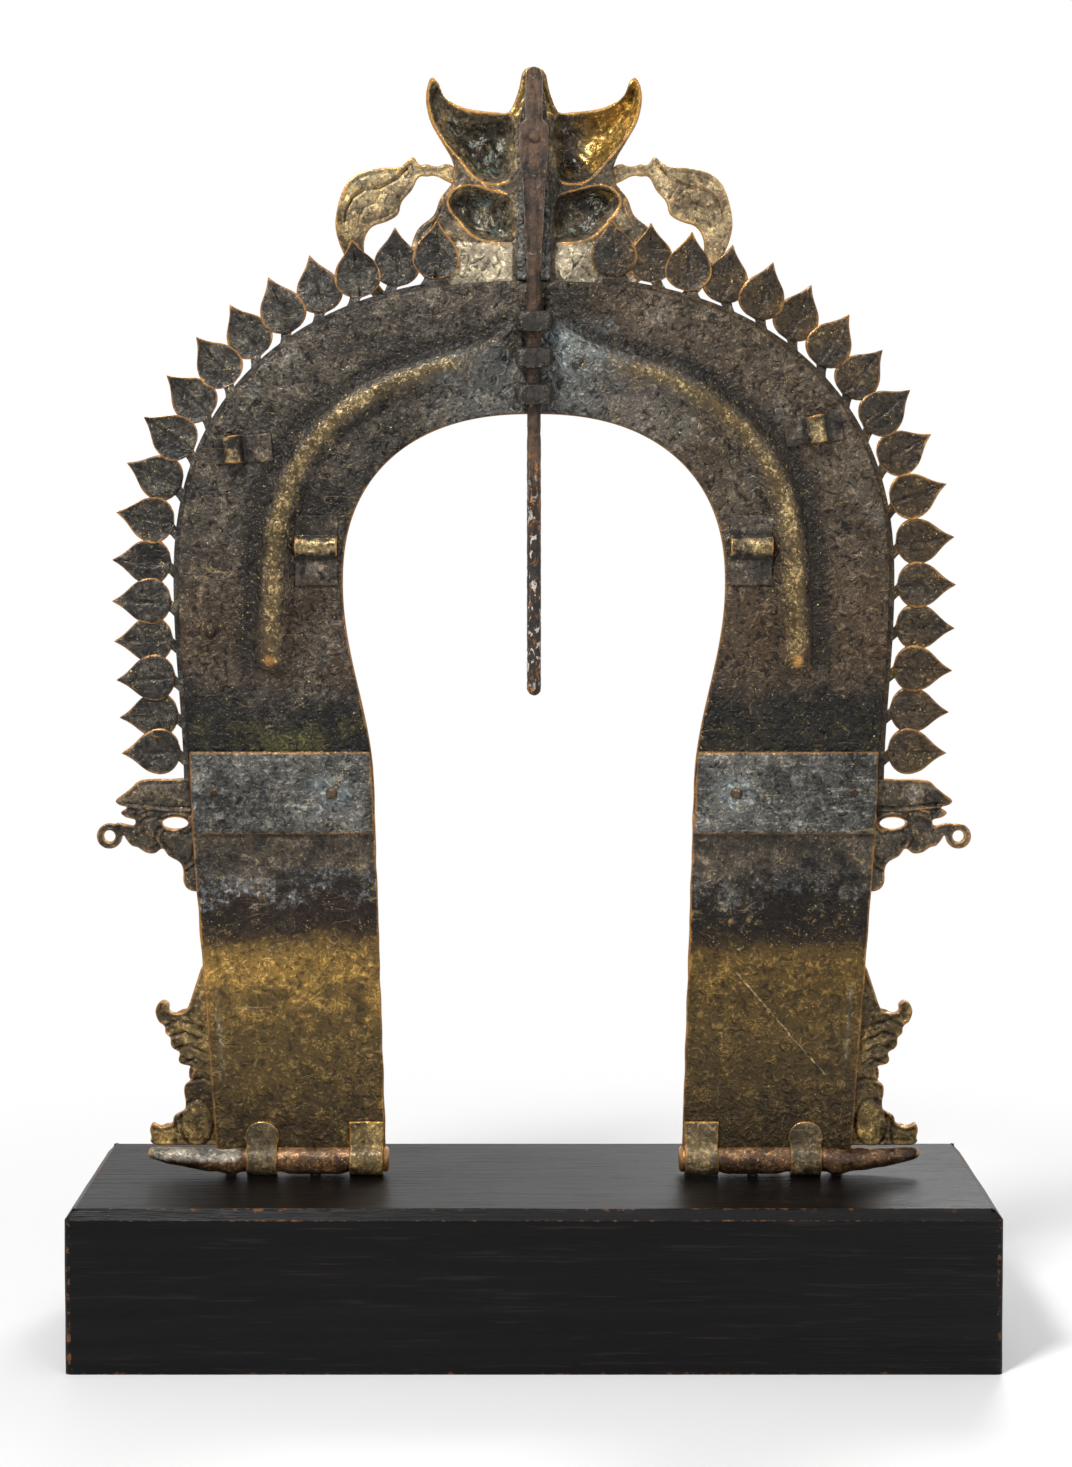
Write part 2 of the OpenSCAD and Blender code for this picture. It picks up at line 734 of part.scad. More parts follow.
// The middle strap has a round top
module foot_strap_middle(s) {
  x = foot_half_w + middle_strap_inset;
  r = middle_strap_w / 2;
  color([0.46, 0.3, 0.13])
    side(s)
      intersection() {
        along_x(x - r, middle_strap_w)
          strap_profile(middle_strap_h);
        upright(-40, 80)
          union() {
            translate([x - r, -5])
              square([2 * r, middle_strap_h - r + 5]);
            translate([x, middle_strap_h - r])
              circle(r = r);
          }
      }
}

module foot_dowels() {
  color([0.3, 0.3, 0.3])
    for (x = dowel_places())
      translate([x, 0, block_h - dowel_depth])
        cylinder(h = dowel_depth + foot_strap_t + dowel_grip, r = dowel_d / 2);
}

// A strap loop, seen along its hole: a flat strip with a round hump over the hole, off its middle
module loop_profile(l, off) {
  out_r = loop_r + loop_t;
  difference() {
    union() {
      translate([-l / 2 - off, 0])
        square([l, loop_t]);
      translate([-out_r, 0])
        square([2 * out_r, loop_stand]);
      translate([0, loop_stand])
        circle(r = out_r);
    }
    translate([0, loop_stand])
      circle(r = loop_r);
    translate([-loop_r, -10])
      square([2 * loop_r, loop_stand + 10]);
    translate([-l, -20])
      square([2 * l, 20]);
  }
}

// An outer loop: its strip lies across the band, its hole runs up and down
module strap_loop_outer(s) {
  a = s < 0 ? 180 - outer_loop_left_a : outer_loop_right_a;
  tilt = s < 0 ? -outer_loop_left_tilt : -outer_loop_right_tilt;
  off = s < 0 ? -outer_loop_left_off : outer_loop_right_off;
  p = arch_point(a, outer_loop_place);
  color([0.48, 0.34, 0.16])
    translate([p[0], back_y, block_h + p[1]])
      rotate([0, tilt, 0])
        translate([0, 0, outer_strip_w / 2])
          rotate([180, 0, 0])
            linear_extrude(outer_strip_w)
              translate([off, 0])
                loop_profile(outer_strip_l, off);
}

// An inner loop: its strip stands upright beside the opening, its hole runs left and right
module strap_loop_inner(s) {
  h = spring_h + inner_loop_rise;
  x = arch_inner_half(h) + inner_loop_inset;
  color([0.5, 0.36, 0.17])
    translate([s * x - inner_strip_w / 2, back_y, block_h + h])
      rotate([90, 0, 90])
        linear_extrude(inner_strip_w)
          rotate(90)
            loop_profile(inner_strip_l, inner_loop_off);
}

// A collar, seen from above: rounded, brazed to the crown's back
module collar(i) {
  h = crown_top_h - collar_drop - collar_pitch * i;
  out_r = collar_bore_r + collar_wall;
  color([0.2, 0.17, 0.14])
    translate([0, 0, block_h + h - collar_h / 2])
      difference() {
        linear_extrude(collar_h)
          union() {
            intersection() {
              translate([0, rod_y])
                circle(r = out_r);
              translate([-out_r, rod_y - out_r + 1.2])
                square([2 * out_r, 2 * out_r]);
              translate([-50, back_y - 100])
                square([100, 100]);
            }
            translate([-out_r + 1, rod_y])
              square([2 * out_r - 2, back_y - rod_y]);
          }
        translate([0, rod_y, -1])
          cylinder(h = collar_h + 2, r = collar_bore_r);
      }
}

// The iron rod: a tongue, a shouldered bar that lies on the crest's spine, and a round rod with a worn end
module iron_rod() {
  top = crown_top_h;
  free_h = crown_top_h - collar_drop - 2 * collar_pitch - collar_h / 2 - 3;
  bar_half = [
    [rod_r, 4], [bar_w / 2 - 1.5, 45 * crest_k], [bar_w / 2, 60 * crest_k], [bar_w / 2, 71 * crest_k],
    [bar_w / 2 - 1.5, 73 * crest_k], [tongue_w / 2, 74 * crest_k], [tongue_w / 2, 90 * crest_k]
  ];
  bar_left = [for (i = [len(bar_half) - 1:-1:0]) [-bar_half[i][0], bar_half[i][1]]];
  color([0.2, 0.13, 0.1]) {
    difference() {
      union() {
        upright(rod_y - bar_t / 2, bar_t)
          translate([0, top]) {
            polygon(concat(bar_half, bar_left));
            translate([0, 90 * crest_k])
              circle(r = tongue_w / 2);
          }
        translate([0, rod_y, block_h + free_h])
          cylinder(h = top + 12 - free_h, r = rod_r);
      }
      cross_pin(0, crest_rivet_h, rivet_d / 2 + shank_clearance, -40, 40);
      translate([-20, spine_back_y, block_h + top])
        cube([40, 20, 200]);
    }
    translate([0, rod_y, block_h + rod_tip_h + free_rod_r])
      cylinder(h = free_h - rod_tip_h - free_rod_r, r = free_rod_r);
    translate([0, rod_y, block_h + rod_tip_h + free_rod_r])
      sphere(r = free_rod_r);
  }
}

// Right half of the crest's outline, from the top of its spike, as [x, height above the crown's top]
crest_half = [
  [4.5, 99], [7.4, 89], [11.5, 79.5], [17, 79], [32, 81], [41.5, 86], [45, 93.5], [48.6, 95], [50.8, 86],
  [48.8, 75], [43.3, 65], [38.5, 56.5], [37.5, 48], [44, 39], [47.2, 31], [55, 24], [58, 12], [52, 2],
  [40, -6], [18, -9]
];

// A bowl beaten out of the crest's sheet towards the front
module bowl(x, rise, r, depth) {
  ball_r = (r * r + depth * depth) / (2 * depth);
  intersection() {
    translate([x, crest_y + depth - ball_r, block_h + crown_top_h + rise])
      sphere(r = ball_r);
    translate([-200, crest_y, 0])
      cube([400, 100, 1000]);
  }
}

bowls = [
  [25.5 * crest_k, 65 * crest_k, eye_r, eye_depth], [26 * crest_k, 31 * crest_k, cheek_r, cheek_depth]
];

// The crest: a lion mask in sheet, with a spine at its back that stands on the crown's top
module crest() {
  low = [for (i = [len(crest_half) - 1:-1:0]) [-crest_half[i][0], crest_half[i][1]]];
  color([0.36, 0.27, 0.14])
    difference() {
      union() {
        upright(crest_y, crest_t)
          translate([0, crown_top_h])
            polygon(smooth(crest_k * concat(crest_half, low)));
        for (s = [-1, 1])
          for (b = bowls)
            bowl(s * b[0], b[1], b[2], b[3]);
        upright(spine_back_y, crest_y - spine_back_y + 0.5)
          polygon([
            [-spine_half_w, seat_h], [spine_half_w, seat_h], [spine_half_w, crown_top_h + 76 * crest_k],
            [4.2, crown_top_h + 94 * crest_k], [-4.2, crown_top_h + 94 * crest_k],
            [-spine_half_w, crown_top_h + 76 * crest_k]
          ]);
        intersection() {
          translate([0, crest_y, block_h + crown_top_h + 20 * crest_k])
            cylinder(h = 34 * crest_k, r1 = 11 * crest_k, r2 = 7 * crest_k);
          translate([-20, crest_y, 0])
            cube([40, 40, 1000]);
        }
      }
      for (s = [-1, 1])
        for (b = bowls)
          translate([0, -0.01, 0])
            bowl(s * b[0], b[1], b[2] - crest_t, b[3] - crest_t);
      cross_pin(0, crest_rivet_h, rivet_d / 2 + shank_clearance, -40, 40);
    }
}

// A side scroll: a flame-like leaf on a thin neck that laps the front of the crest's sheet
module crest_scroll(s) {
  outline = [
    [34, 49.8], [40, 53.5], [46, 54.5], [53.5, 55], [57, 58.6], [63, 54], [72.5, 53.2], [82, 51], [89, 45],
    [93, 33], [93, 22], [87, 8], [75, -8], [68, -8], [77, 4], [80, 14], [79.5, 21], [76, 26], [69.5, 28.2],
    [64, 31.6], [62.3, 37.5], [57.5, 43], [54, 49], [47, 49.5], [41, 47.5], [36, 46], [33.5, 47.8]
  ];
  color([0.4, 0.31, 0.18])
    side(s)
      upright(crest_y + crest_t, scroll_t)
        translate([0, crown_top_h])
          polygon(smooth(crest_k * outline));
}

module crest_rivet() {
  color([0.24, 0.15, 0.11])
    rivet(0, crest_rivet_h, rod_y - bar_t / 2, crest_y + crest_t);
}

block();
crown();
leg(-1);  // leg_left
leg(1);  // leg_right
splice_plate(-1);  // splice_plate_left
splice_plate(1);  // splice_plate_right
splice_rivets(-1);  // splice_rivets_left
splice_rivets(1);  // splice_rivets_right
crown_stud();
leaf_border(-1);  // leaf_border_left
leaf_border(1);  // leaf_border_right
makara(-1);  // makara_left
makara(1);  // makara_right
lion(-1);  // lion_left
lion(1);  // lion_right
foot_bar(-1);  // foot_bar_left
foot_bar(1);  // foot_bar_right
foot_strap_inner(-1);  // foot_strap_inner_left
foot_strap_inner(1);  // foot_strap_inner_right
foot_strap_middle(-1);  // foot_strap_middle_left
foot_strap_middle(1);  // foot_strap_middle_right
foot_dowels();
strap_loop_outer(-1);  // strap_loop_outer_left
strap_loop_outer(1);  // strap_loop_outer_right
strap_loop_inner(-1);  // strap_loop_inner_left
strap_loop_inner(1);  // strap_loop_inner_right
collar(0);  // collar_top
collar(1);  // collar_middle
collar(2);  // collar_bottom
crest();
crest_scroll(-1);  // crest_scroll_left
crest_scroll(1);  // crest_scroll_right
iron_rod();
crest_rivet();
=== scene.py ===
# %% [markdown]
# # A brass prabhavali, seen from behind
#
# A prabhavali is the arch that stands behind a temple image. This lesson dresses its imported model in
# Blender: each piece is modelled again, finer than the solids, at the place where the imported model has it,
# and gets a finish of its own. The back of the arch faces -Y, which is where the camera stands.

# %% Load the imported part
import json
import math

import bmesh
import bpy
import numpy as np
from mathutils import Matrix, Vector, noise
from mathutils.kdtree import KDTree

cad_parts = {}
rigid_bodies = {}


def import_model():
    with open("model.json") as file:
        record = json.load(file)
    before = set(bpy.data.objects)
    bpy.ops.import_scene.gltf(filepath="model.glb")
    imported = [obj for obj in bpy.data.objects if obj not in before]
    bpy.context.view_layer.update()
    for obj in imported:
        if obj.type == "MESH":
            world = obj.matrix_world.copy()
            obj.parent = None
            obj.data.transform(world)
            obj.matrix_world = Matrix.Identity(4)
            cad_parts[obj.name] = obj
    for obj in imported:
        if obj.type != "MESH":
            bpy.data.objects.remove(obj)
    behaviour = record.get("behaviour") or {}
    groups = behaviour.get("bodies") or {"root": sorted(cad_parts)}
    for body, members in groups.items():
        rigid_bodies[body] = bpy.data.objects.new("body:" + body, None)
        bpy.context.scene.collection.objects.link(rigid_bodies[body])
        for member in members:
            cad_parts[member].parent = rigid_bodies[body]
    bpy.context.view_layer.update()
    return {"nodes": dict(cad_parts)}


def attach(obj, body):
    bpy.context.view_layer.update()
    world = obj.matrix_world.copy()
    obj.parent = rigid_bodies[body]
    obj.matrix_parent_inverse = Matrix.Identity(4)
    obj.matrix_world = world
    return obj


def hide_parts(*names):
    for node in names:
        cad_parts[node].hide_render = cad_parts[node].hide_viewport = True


for leftover in list(bpy.data.objects):
    bpy.data.objects.remove(leftover)
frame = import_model()

# %% [markdown]
# ## Finishes as sums
#
# A finish is mostly arithmetic: this patch times that noise, one minus a mask. Nodes can be wired by hand,
# but then the sum is hard to read. A small class around a socket lets Python's own operators add the Math
# nodes, so that a line of code says what the finish does.


# %% A socket that does sums
class Tone:
    """One socket of a material; operators on it add Math nodes, and node() adds any other node."""

    def __init__(self, tree, socket=None):
        self.tree, self.socket = tree, socket

    def node(self, kind, settings=None, sockets=None, out=0):
        """Adds a node: first its settings, then the values or links of its sockets."""
        made = self.tree.nodes.new("ShaderNode" + kind)
        for key, value in (settings or {}).items():
            setattr(made, key, value)
        for key, value in (sockets or {}).items():
            if isinstance(value, Tone):
                self.tree.links.new(value.socket, made.inputs[key])
            else:
                made.inputs[key].default_value = value
        return Tone(self.tree, made.outputs[out])

    def maths(self, operation, first, second=0.0):
        return self.node("Math", {"operation": operation}, {0: first, 1: second})

    def __add__(self, other):
        return self.maths("ADD", self, other)

    def __sub__(self, other):
        return self.maths("SUBTRACT", self, other)

    def __rsub__(self, other):
        return self.maths("SUBTRACT", other, self)

    def __mul__(self, other):
        return self.maths("MULTIPLY", self, other)

    def __abs__(self):
        return self.maths("ABSOLUTE", self)

    __radd__, __rmul__ = __add__, __mul__


# %% [markdown]
# The finishes share a few habits: a cloud of noise at some size, a soft threshold that turns a cloud into
# patches, a tint of one colour over another, and fine scratches. A scratch is drawn as a contour line of a
# slow noise, as on a map: that gives long thin lines that wander as real ones do.


# %% Clouds, patches, tints and scratches
def paint(code):
    """A colour as a painter writes it, #rrggbb, as the linear numbers that Blender mixes."""
    parts = [int(code[i:i + 2], 16) / 255 for i in (1, 3, 5)]
    return tuple(p / 12.92 if p < 0.04045 else ((p + 0.055) / 1.055) ** 2.4 for p in parts) + (1.0,)


def cloud(place, size_mm, detail=5.0, rough=0.6, swirl=0.0):
    """Noise whose lumps are about size_mm across, from 0 to 1; swirl curls them into worms."""
    return place.node("TexNoise", None, {"Vector": place, "Scale": 1000 / size_mm, "Detail": detail,
                                         "Roughness": rough, "Distortion": swirl})


def patch(value, low, high):
    """0 below low, 1 above high, and smooth between; low may be the larger one."""
    limits = {"Value": value, "From Min": low, "From Max": high}
    return value.node("MapRange", {"interpolation_type": "SMOOTHSTEP"}, limits)


def tint(mask, below, above):
    """The colour above laid over the colour below where the mask is 1."""
    return mask.node("Mix", {"data_type": "RGBA"}, {0: mask, 6: below, 7: above}, out=2)


def shade(mask, colour, times):
    """The same colour, darker or lighter by so many times, where the mask is 1."""
    factor = (times, times, times, 1.0)
    blend = {"data_type": "RGBA", "blend_type": "MULTIPLY"}
    return mask.node("Mix", blend, {0: mask, 6: colour, 7: factor}, out=2)


def turned(place, degrees, stretch):
    """The same place, turned about Y and stretched, for streaks and scratches."""
    turn = (0.0, math.radians(degrees), 0.0)
    return place.node("Mapping", None, {"Vector": place, "Rotation": turn, "Scale": stretch})


def scratches(place, degrees, size_mm, width=0.006):
    """Thin lines that run mostly one way, broken up so that each is short."""
    lane = turned(place, degrees, (1.0, 1.0, 4.0))
    off = cloud(lane, size_mm, detail=1.0) - 0.5
    thin = patch(abs(off), width, width / 6)
    return thin * patch(cloud(place, size_mm * 0.6, detail=2.0), 0.56, 0.66)


def new_finish(name):
    """A material with its shader, and a Tone of its Object coordinates to start sums from."""
    material = bpy.data.materials.new(name)
    material.use_nodes = True
    tree = material.node_tree
    shader = tree.nodes["Principled BSDF"]
    place = Tone(tree).node("TexCoord", out=3)
    return material, shader, place


def pour(shader, place, colour, roughness, metallic, height_mm):
    """Feeds a finish to its shader; the height, in mm, becomes a bump."""
    bump = place.node("Bump", None, {"Strength": 1.0, "Distance": 0.001, "Height": height_mm})
    feeds = {"Base Color": colour, "Roughness": roughness, "Metallic": metallic, "Normal": bump}
    for key, value in feeds.items():
        if isinstance(value, Tone):
            place.tree.links.new(value.socket, shader.inputs[key])
        else:
            shader.inputs[key].default_value = value


# %% [markdown]
# ## Old brass
#
# Temple brass darkens to brown and blue-grey, stays gold where it is rubbed, and keeps a thin copper line
# on every worn edge. The meshes carry measures for that, as attributes on their points: rim (near an outer
# edge), rub (where hands, cloth or cords have polished it, and where glints are painted), deep (down in a
# hollow, and where shade is painted beside the ridge and the loop humps), pale (where a pale skin is left)
# and back (on the plate's back). One recipe makes all the brass; each piece calls it with its own colours.


# %% What lies on the brass
def larger(first, second):
    """The larger of two values."""
    return first.maths("MAXIMUM", first, second)


def carried(place, measure):
    """A measure that the mesh carries on its points."""
    return place.node("Attribute", {"attribute_name": measure}, out=2)


def brass_ground(place, dark, brown, cool, cool_share, slow, mottle, grain):
    """Dark and brown clouds with cool ones over them, and smoke that dims some and leaves some bright."""
    ground = patch(mottle + 0.6 * (grain - 0.5) + 0.7 * (slow - 0.5), 0.3, 0.7)
    colour = tint(ground, paint(dark), paint(brown))
    cool_from = 0.72 - 0.4 * cool_share
    cooled = patch(slow + 0.7 * (mottle - 0.5), cool_from, cool_from + 0.16)
    colour = tint(cooled * 0.7, colour, paint(cool))
    smoke = cloud(place, 34, 4.0, 0.55)
    colour = shade(patch(smoke, 0.52, 0.34), colour, 0.5)
    return shade(patch(smoke + 0.3 * (mottle - 0.5), 0.54, 0.7), colour, 1.5)


def pale_skin(place, colour, pale, slow, mottle):
    """A pale skin, itself worn, where the mesh carries pale."""
    worn_pale = shade(patch(mottle + 0.9 * (slow - 0.5), 0.58, 0.36), paint(pale), 0.5)
    covered = patch(carried(place, "pale") + 0.9 * (mottle - 0.5), 0.3, 0.9)
    return tint(covered * 0.9, colour, worn_pale)


def green_hollows_and_glints(place, colour, deep, slow):
    """Green bloom in the hollows, and painted highlights along creases in them."""
    hollow = patch(deep, 0.3, 0.7)
    bloom = hollow * patch(cloud(place, 4.5, 6.0, 0.7) + 0.25 * slow, 0.68, 0.76)
    colour = tint(bloom * 0.5, colour, paint("#5f7c78"))
    crease = cloud(place, 8.0, 1.0, swirl=2.2) - 0.5
    # painted highlights along the creases
    crease_glints = patch(abs(crease), 0.06, 0.015) * patch(cloud(place, 7.0, 2.0), 0.5, 0.6)
    return tint(crease_glints * hollow * 0.65, colour, paint("#a7a595"))


# %% The recipe for old brass
def old_brass(name, dark, brown, gold, cool="#565b5a", cool_share=0.3, worn=0.5, zones=None,
              edge="#b07f48", rough=0.34, relief_mm=1.8, pale=None, green=False, dirt_and_shade=0.85,
              broken=1.0, scored=0.45, pit_dirt_and_shade=0.3):
    """Old brass of three main colours; the rest sets how cool, worn and scored it is, and its grime and painted shade.
    """
    material, shader, place = new_finish(name)
    shader.inputs["Specular IOR Level"].default_value = 0.2
    rim, rub, deep = (carried(place, measure) for measure in ("rim", "rub", "deep"))
    # Noise, from slow clouds to grit; cast is the lumpy skin of a casting.
    slow, mottle = cloud(place, 75, 3.0), cloud(place, 11, 7.0, 0.66)
    cast, worms = cloud(place, 3.8, 2.0, 0.45, swirl=1.3), cloud(place, 6.0, 2.0, swirl=1.8)
    grain, fine, grit = cloud(place, 2.2, 5.0, 0.68), cloud(place, 1.7, 1.0), cloud(place, 1.3, 2.0)
    colour = brass_ground(place, dark, brown, cool, cool_share, slow, mottle, grain)
    if zones:
        colour = zones(place, colour, slow, mottle, grain)
    # Gold shows where the skin is thin, and most where it is rubbed.
    gold_from = 0.84 - 0.25 * worn
    show = patch(mottle * 0.4 + slow * 0.3 + grain * 0.3 + cast * 0.3, gold_from, gold_from + 0.14)
    colour = tint(0.5 * show, colour, paint(gold))
    unrest = 0.5 * (grain - 0.5) + 0.9 * (mottle - 0.5) + 0.4 * (cast - 0.5)
    polish = patch(rub + broken * unrest, 0.3, 1.05)
    colour = tint(polish * 0.85, colour, paint(gold))
    # Painted glints: the most rubbed spots lighten to almost twice.
    colour = shade(patch(rub + 1.4 * unrest + 0.6 * (fine - 0.5), 0.85, 1.1), colour, 1.9)
    # Dirt and painted shade lie in what is deep; a pale skin, green bloom and painted glints come over it.
    colour = tint(patch(deep + 0.5 * (mottle - 0.5), 0.1, 0.95) * dirt_and_shade, colour, paint("#1b1713"))
    if pale:
        colour = pale_skin(place, colour, pale, slow, mottle)
    if green:
        colour = green_hollows_and_glints(place, colour, deep, slow)
    # Dirt and painted shade darken the pits, less where it is rubbed; wear and painted highlights lighten
    # the peaks and the crawling lines of the skin.
    calm = 1.0 - 0.65 * larger(rim, rub)
    pits_dirt_and_shade = patch(cast + 0.5 * (grain - 0.5), 0.47, 0.3)
    peaks_wear_and_highlight = patch(cast + 0.5 * (fine - 0.5), 0.57, 0.74)
    crawl = patch(abs(worms - 0.5), 0.036, 0.01) * patch(mottle, 0.48, 0.58)
    colour = shade(pits_dirt_and_shade * calm, colour, pit_dirt_and_shade)
    colour = shade(larger(0.8 * crawl, peaks_wear_and_highlight), colour, 2.6)
    # Bright specks (painted glints where rubbed), scratches and bright edges lie over everything.
    specks_and_glints = patch(grit + 0.35 * (mottle - 0.5) + 0.06 * rub, 0.66, 0.72)
    scores = larger(scratches(place, 28, 34), scratches(place, -41, 46))
    colour = tint(larger(specks_and_glints, scored * scores) * 0.7, colour, paint("#b39a68"))
    edged = patch(rim + 0.8 * (grain - 0.5) + 1.1 * (mottle - 0.5) + 0.6 * (slow - 0.5), 0.42, 0.95)
    colour = tint(edged * 0.85, colour, paint(edge))
    bright = larger(edged, larger(polish, 0.7 * specks_and_glints))
    roughness = rough + 0.25 * (grain - 0.5) + 0.2 * (mottle - 0.5) - 0.08 * bright
    height = (relief_mm * (cast + 0.3 * fine + 0.1 * crawl) + 0.8 * mottle) * calm - 0.12 * scores
    pour(shader, place, colour, roughness, 0.12 + 0.5 * bright, height)
    return material


# %% [markdown]
# The plate changes colour with height: the crown is dark grey-brown, a black band runs over the splice, and
# below a ragged edge the legs are golden. Zones are soft thresholds on Z, pushed up and down by noise so
# that no border runs straight.

# %% Places on the plate
BLOCK_TOP = 75.0  # mm above the floor; the other heights are counted from here
SPRING, SPLICE, CROWN_TOP = 281.0, 182.5, 423.5
RIVET_X = 95.5


def height_mm(place, wander_mm, mottle):
    """Height above the block in mm, made ragged by the mottle."""
    z = place.node("SeparateXYZ", None, {0: place}, out=2)
    return (z - BLOCK_TOP / 1000) * 1000.0 + (mottle - 0.5) * wander_mm


def distance_mm(place, x, y, h):
    """Distance in mm from one point of the arch."""
    point = (x / 1000, y / 1000, (h + BLOCK_TOP) / 1000)
    return place.node("VectorMath", {"operation": "DISTANCE"}, {0: place, 1: point}, out=1) * 1000.0


def on_right(place):
    """0 on the left half, 1 on the right."""
    return patch(place.node("SeparateXYZ", None, {0: place}), 0.0, 0.05)


def long_scratch(place, start, end, mottle):
    """One straight scratch across the plate, between two points (x, height) in mm."""
    length = math.dist(start, end)
    way_x, way_h = (end[0] - start[0]) / length, (end[1] - start[1]) / length
    begin = (start[0] / 1000, 0.0, (start[1] + BLOCK_TOP) / 1000)
    reach = place.node("VectorMath", {"operation": "SUBTRACT"}, {0: place, 1: begin})
    dot = {"operation": "DOT_PRODUCT"}
    along = reach.node("VectorMath", dot, {0: reach, 1: (way_x, 0.0, way_h)}, out=1) * 1000.0
    off = reach.node("VectorMath", dot, {0: reach, 1: (-way_h, 0.0, way_x)}, out=1) * 1000.0
    thin = patch(abs(off + (mottle - 0.5) * 2.0), 0.5, 0.15)
    return thin * patch(along, 0.0, 5.0) * patch(along, length, length - 9.0)


# %% Colour zones of the crown and the legs
def crown_zones(place, colour, slow, mottle, grain):
    """Painted sheen and grey patina at the top, dark round the opening, warm at the sides, black above the splice."""
    back, right = carried(place, "back"), on_right(place)
    h = height_mm(place, 50.0, slow) + (mottle - 0.5) * 16.0
    top_h = height_mm(place, 14.0, mottle)
    spread = distance_mm(place, 17, 0, 393)
    # a grey-blue patina by the collars, partly a painted sheen
    grey_patina_and_sheen = patch(spread + (slow - 0.5) * 30.0 + (mottle - 0.5) * 70.0 + (grain - 0.5) * 90.0, 26.0, 0.0)
    colour = tint(grey_patina_and_sheen * patch(top_h, 408.0, 396.0) * back * 0.9, colour, paint("#848c8b"))
    by_opening = patch(distance_mm(place, 0, 0, SPRING) + (mottle - 0.5) * 20.0, 134.0, 106.0)
    colour = shade(by_opening * patch(h, 345.0, 315.0), colour, 0.7)
    cool_top = patch(spread + (mottle - 0.5) * 60.0, 80.0, 40.0) * patch(top_h, 396.0, 384.0)
    colour = tint(cool_top * back * 0.4, colour, paint("#6a6c6a"))
    warm = patch(h, 222.0, 246.0) * patch(h, 312.0, 262.0)
    colour = tint(warm * 0.5, colour, paint("#413122"))
    colour = tint(right * 0.3, colour, paint("#55432e"))
    colour = tint(patch(h, 246.0, 220.0) * 0.92, colour, paint("#141311"))
    olive = patch(h, 198.0, 208.0) * patch(h, 224.0, 212.0) * patch(mottle + slow - 0.5, 0.42, 0.62)
    return tint(olive * (0.5 - 0.35 * right), colour, paint("#46431f"))


def leg_zones(place, colour, slow, mottle, grain):
    """Gilt below a ragged edge and a black band over it; the right leg is darker, and has one long scratch."""
    back, right = carried(place, "back"), on_right(place)
    h = height_mm(place, 22.0, slow) + (mottle - 0.5) * 46.0 + (grain - 0.5) * 16.0
    lit = patch(mottle + 0.5 * (slow - 0.5) + 0.6 * (grain - 0.5), 0.34, 0.66)
    gilt = tint(lit, paint("#644e28"), paint("#8c6d35"))
    colour = tint(patch(h, 124.0, 104.0), colour, gilt)
    colour = tint(patch(h, 102.0, 64.0) * 0.85, colour, paint("#46381f"))
    colour = tint(patch(h, 56.0, 22.0) * 0.65, colour, paint("#2b2217"))
    colour = tint(patch(h, 104.0, 120.0) * patch(h, 142.0, 128.0) * 0.85, colour, paint("#1c130d"))
    colour = shade(right * patch(h, 124.0, 112.0) * patch(h, 62.0, 88.0), colour, 0.45)
    colour = shade(right * patch(h, 75.0, 55.0), colour, 0.82)
    colour = shade(right * patch(h, 108.0, 122.0) * patch(h, 148.0, 134.0), colour, 0.5)
    scratch = long_scratch(place, (94.6, 98.6), (140.7, 45.1), mottle) * patch(grain, 0.36, 0.56)
    colour = tint(scratch * 0.6, colour, paint("#a8946c"))
    frost = patch(h, 130.0, 138.0) * patch(h, 152.0, 142.0) * patch(grain + 0.6 * (mottle - 0.5), 0.48, 0.62)
    return tint(frost * back * (0.55 - 0.35 * right), colour, paint("#68727a"))


# %% Colour zones of the smaller pieces
def leaf_zones(place, colour, slow, mottle, grain):
    """The leaves on the right are browner."""
    browned = on_right(place) * patch(slow + 0.5 * (mottle - 0.5), 0.3, 0.6)
    return tint(browned * 0.8, colour, paint("#3c2d18"))


def lion_zones(place, colour, slow, mottle, grain):
    """The left lion is brighter."""
    return shade(1.0 - on_right(place), colour, 1.4)


def scroll_zones(place, colour, slow, mottle, grain):
    """The right scroll is brighter."""
    return shade(on_right(place), colour, 1.75)


def splice_zones(place, colour, slow, mottle, grain):
    """Level streaks from wiping, and a pale halo round each rivet."""
    streaks = cloud(turned(place, 0, (0.16, 1.0, 1.0)), 2.6, 4.0, 0.7)
    colour = tint(patch(streaks + 0.4 * (mottle - 0.5), 0.52, 0.66) * 0.45, colour, paint("#7f7f78"))
    colour = shade(on_right(place), colour, 1.12)
    for x in (-RIVET_X, RIVET_X):
        off = distance_mm(place, x, -3, SPLICE)
        halo = patch(off + (mottle - 0.5) * 36.0 + (grain - 0.5) * 26.0, 12.0, 4.0)
        colour = tint(halo * 0.45, colour, paint("#7b8385"))
    return colour


crown_finish = old_brass("crown_patina", "#2a2621", "#4f473d", "#5f5035", cool="#4f5352",
                         cool_share=0.4, zones=crown_zones, pit_dirt_and_shade=0.2)
leg_finish = old_brass("leg_patina", "#2b2620", "#4d4439", "#8f7541", zones=leg_zones,
                       relief_mm=1.0, pale="#716b58", pit_dirt_and_shade=0.5)
splice_finish = old_brass("splice_patina", "#31302d", "#575550", "#7d7056", cool="#5c5f5d",
                          cool_share=0.2, worn=0.35, zones=splice_zones)
leaf_finish = old_brass("leaf_patina", "#25221f", "#45413a", "#7d6943", cool="#505455",
                        worn=0.35, relief_mm=0.9, zones=leaf_zones)
print("plate finishes:", crown_finish.name, leg_finish.name, splice_finish.name, leaf_finish.name)

# %% [markdown]
# ## Measures of the arch
#
# The same curves that made the solids are written again here, in millimetres above the block: the opening
# and the plate's edge are superellipses over the spring line, and ease gently into the legs below it.

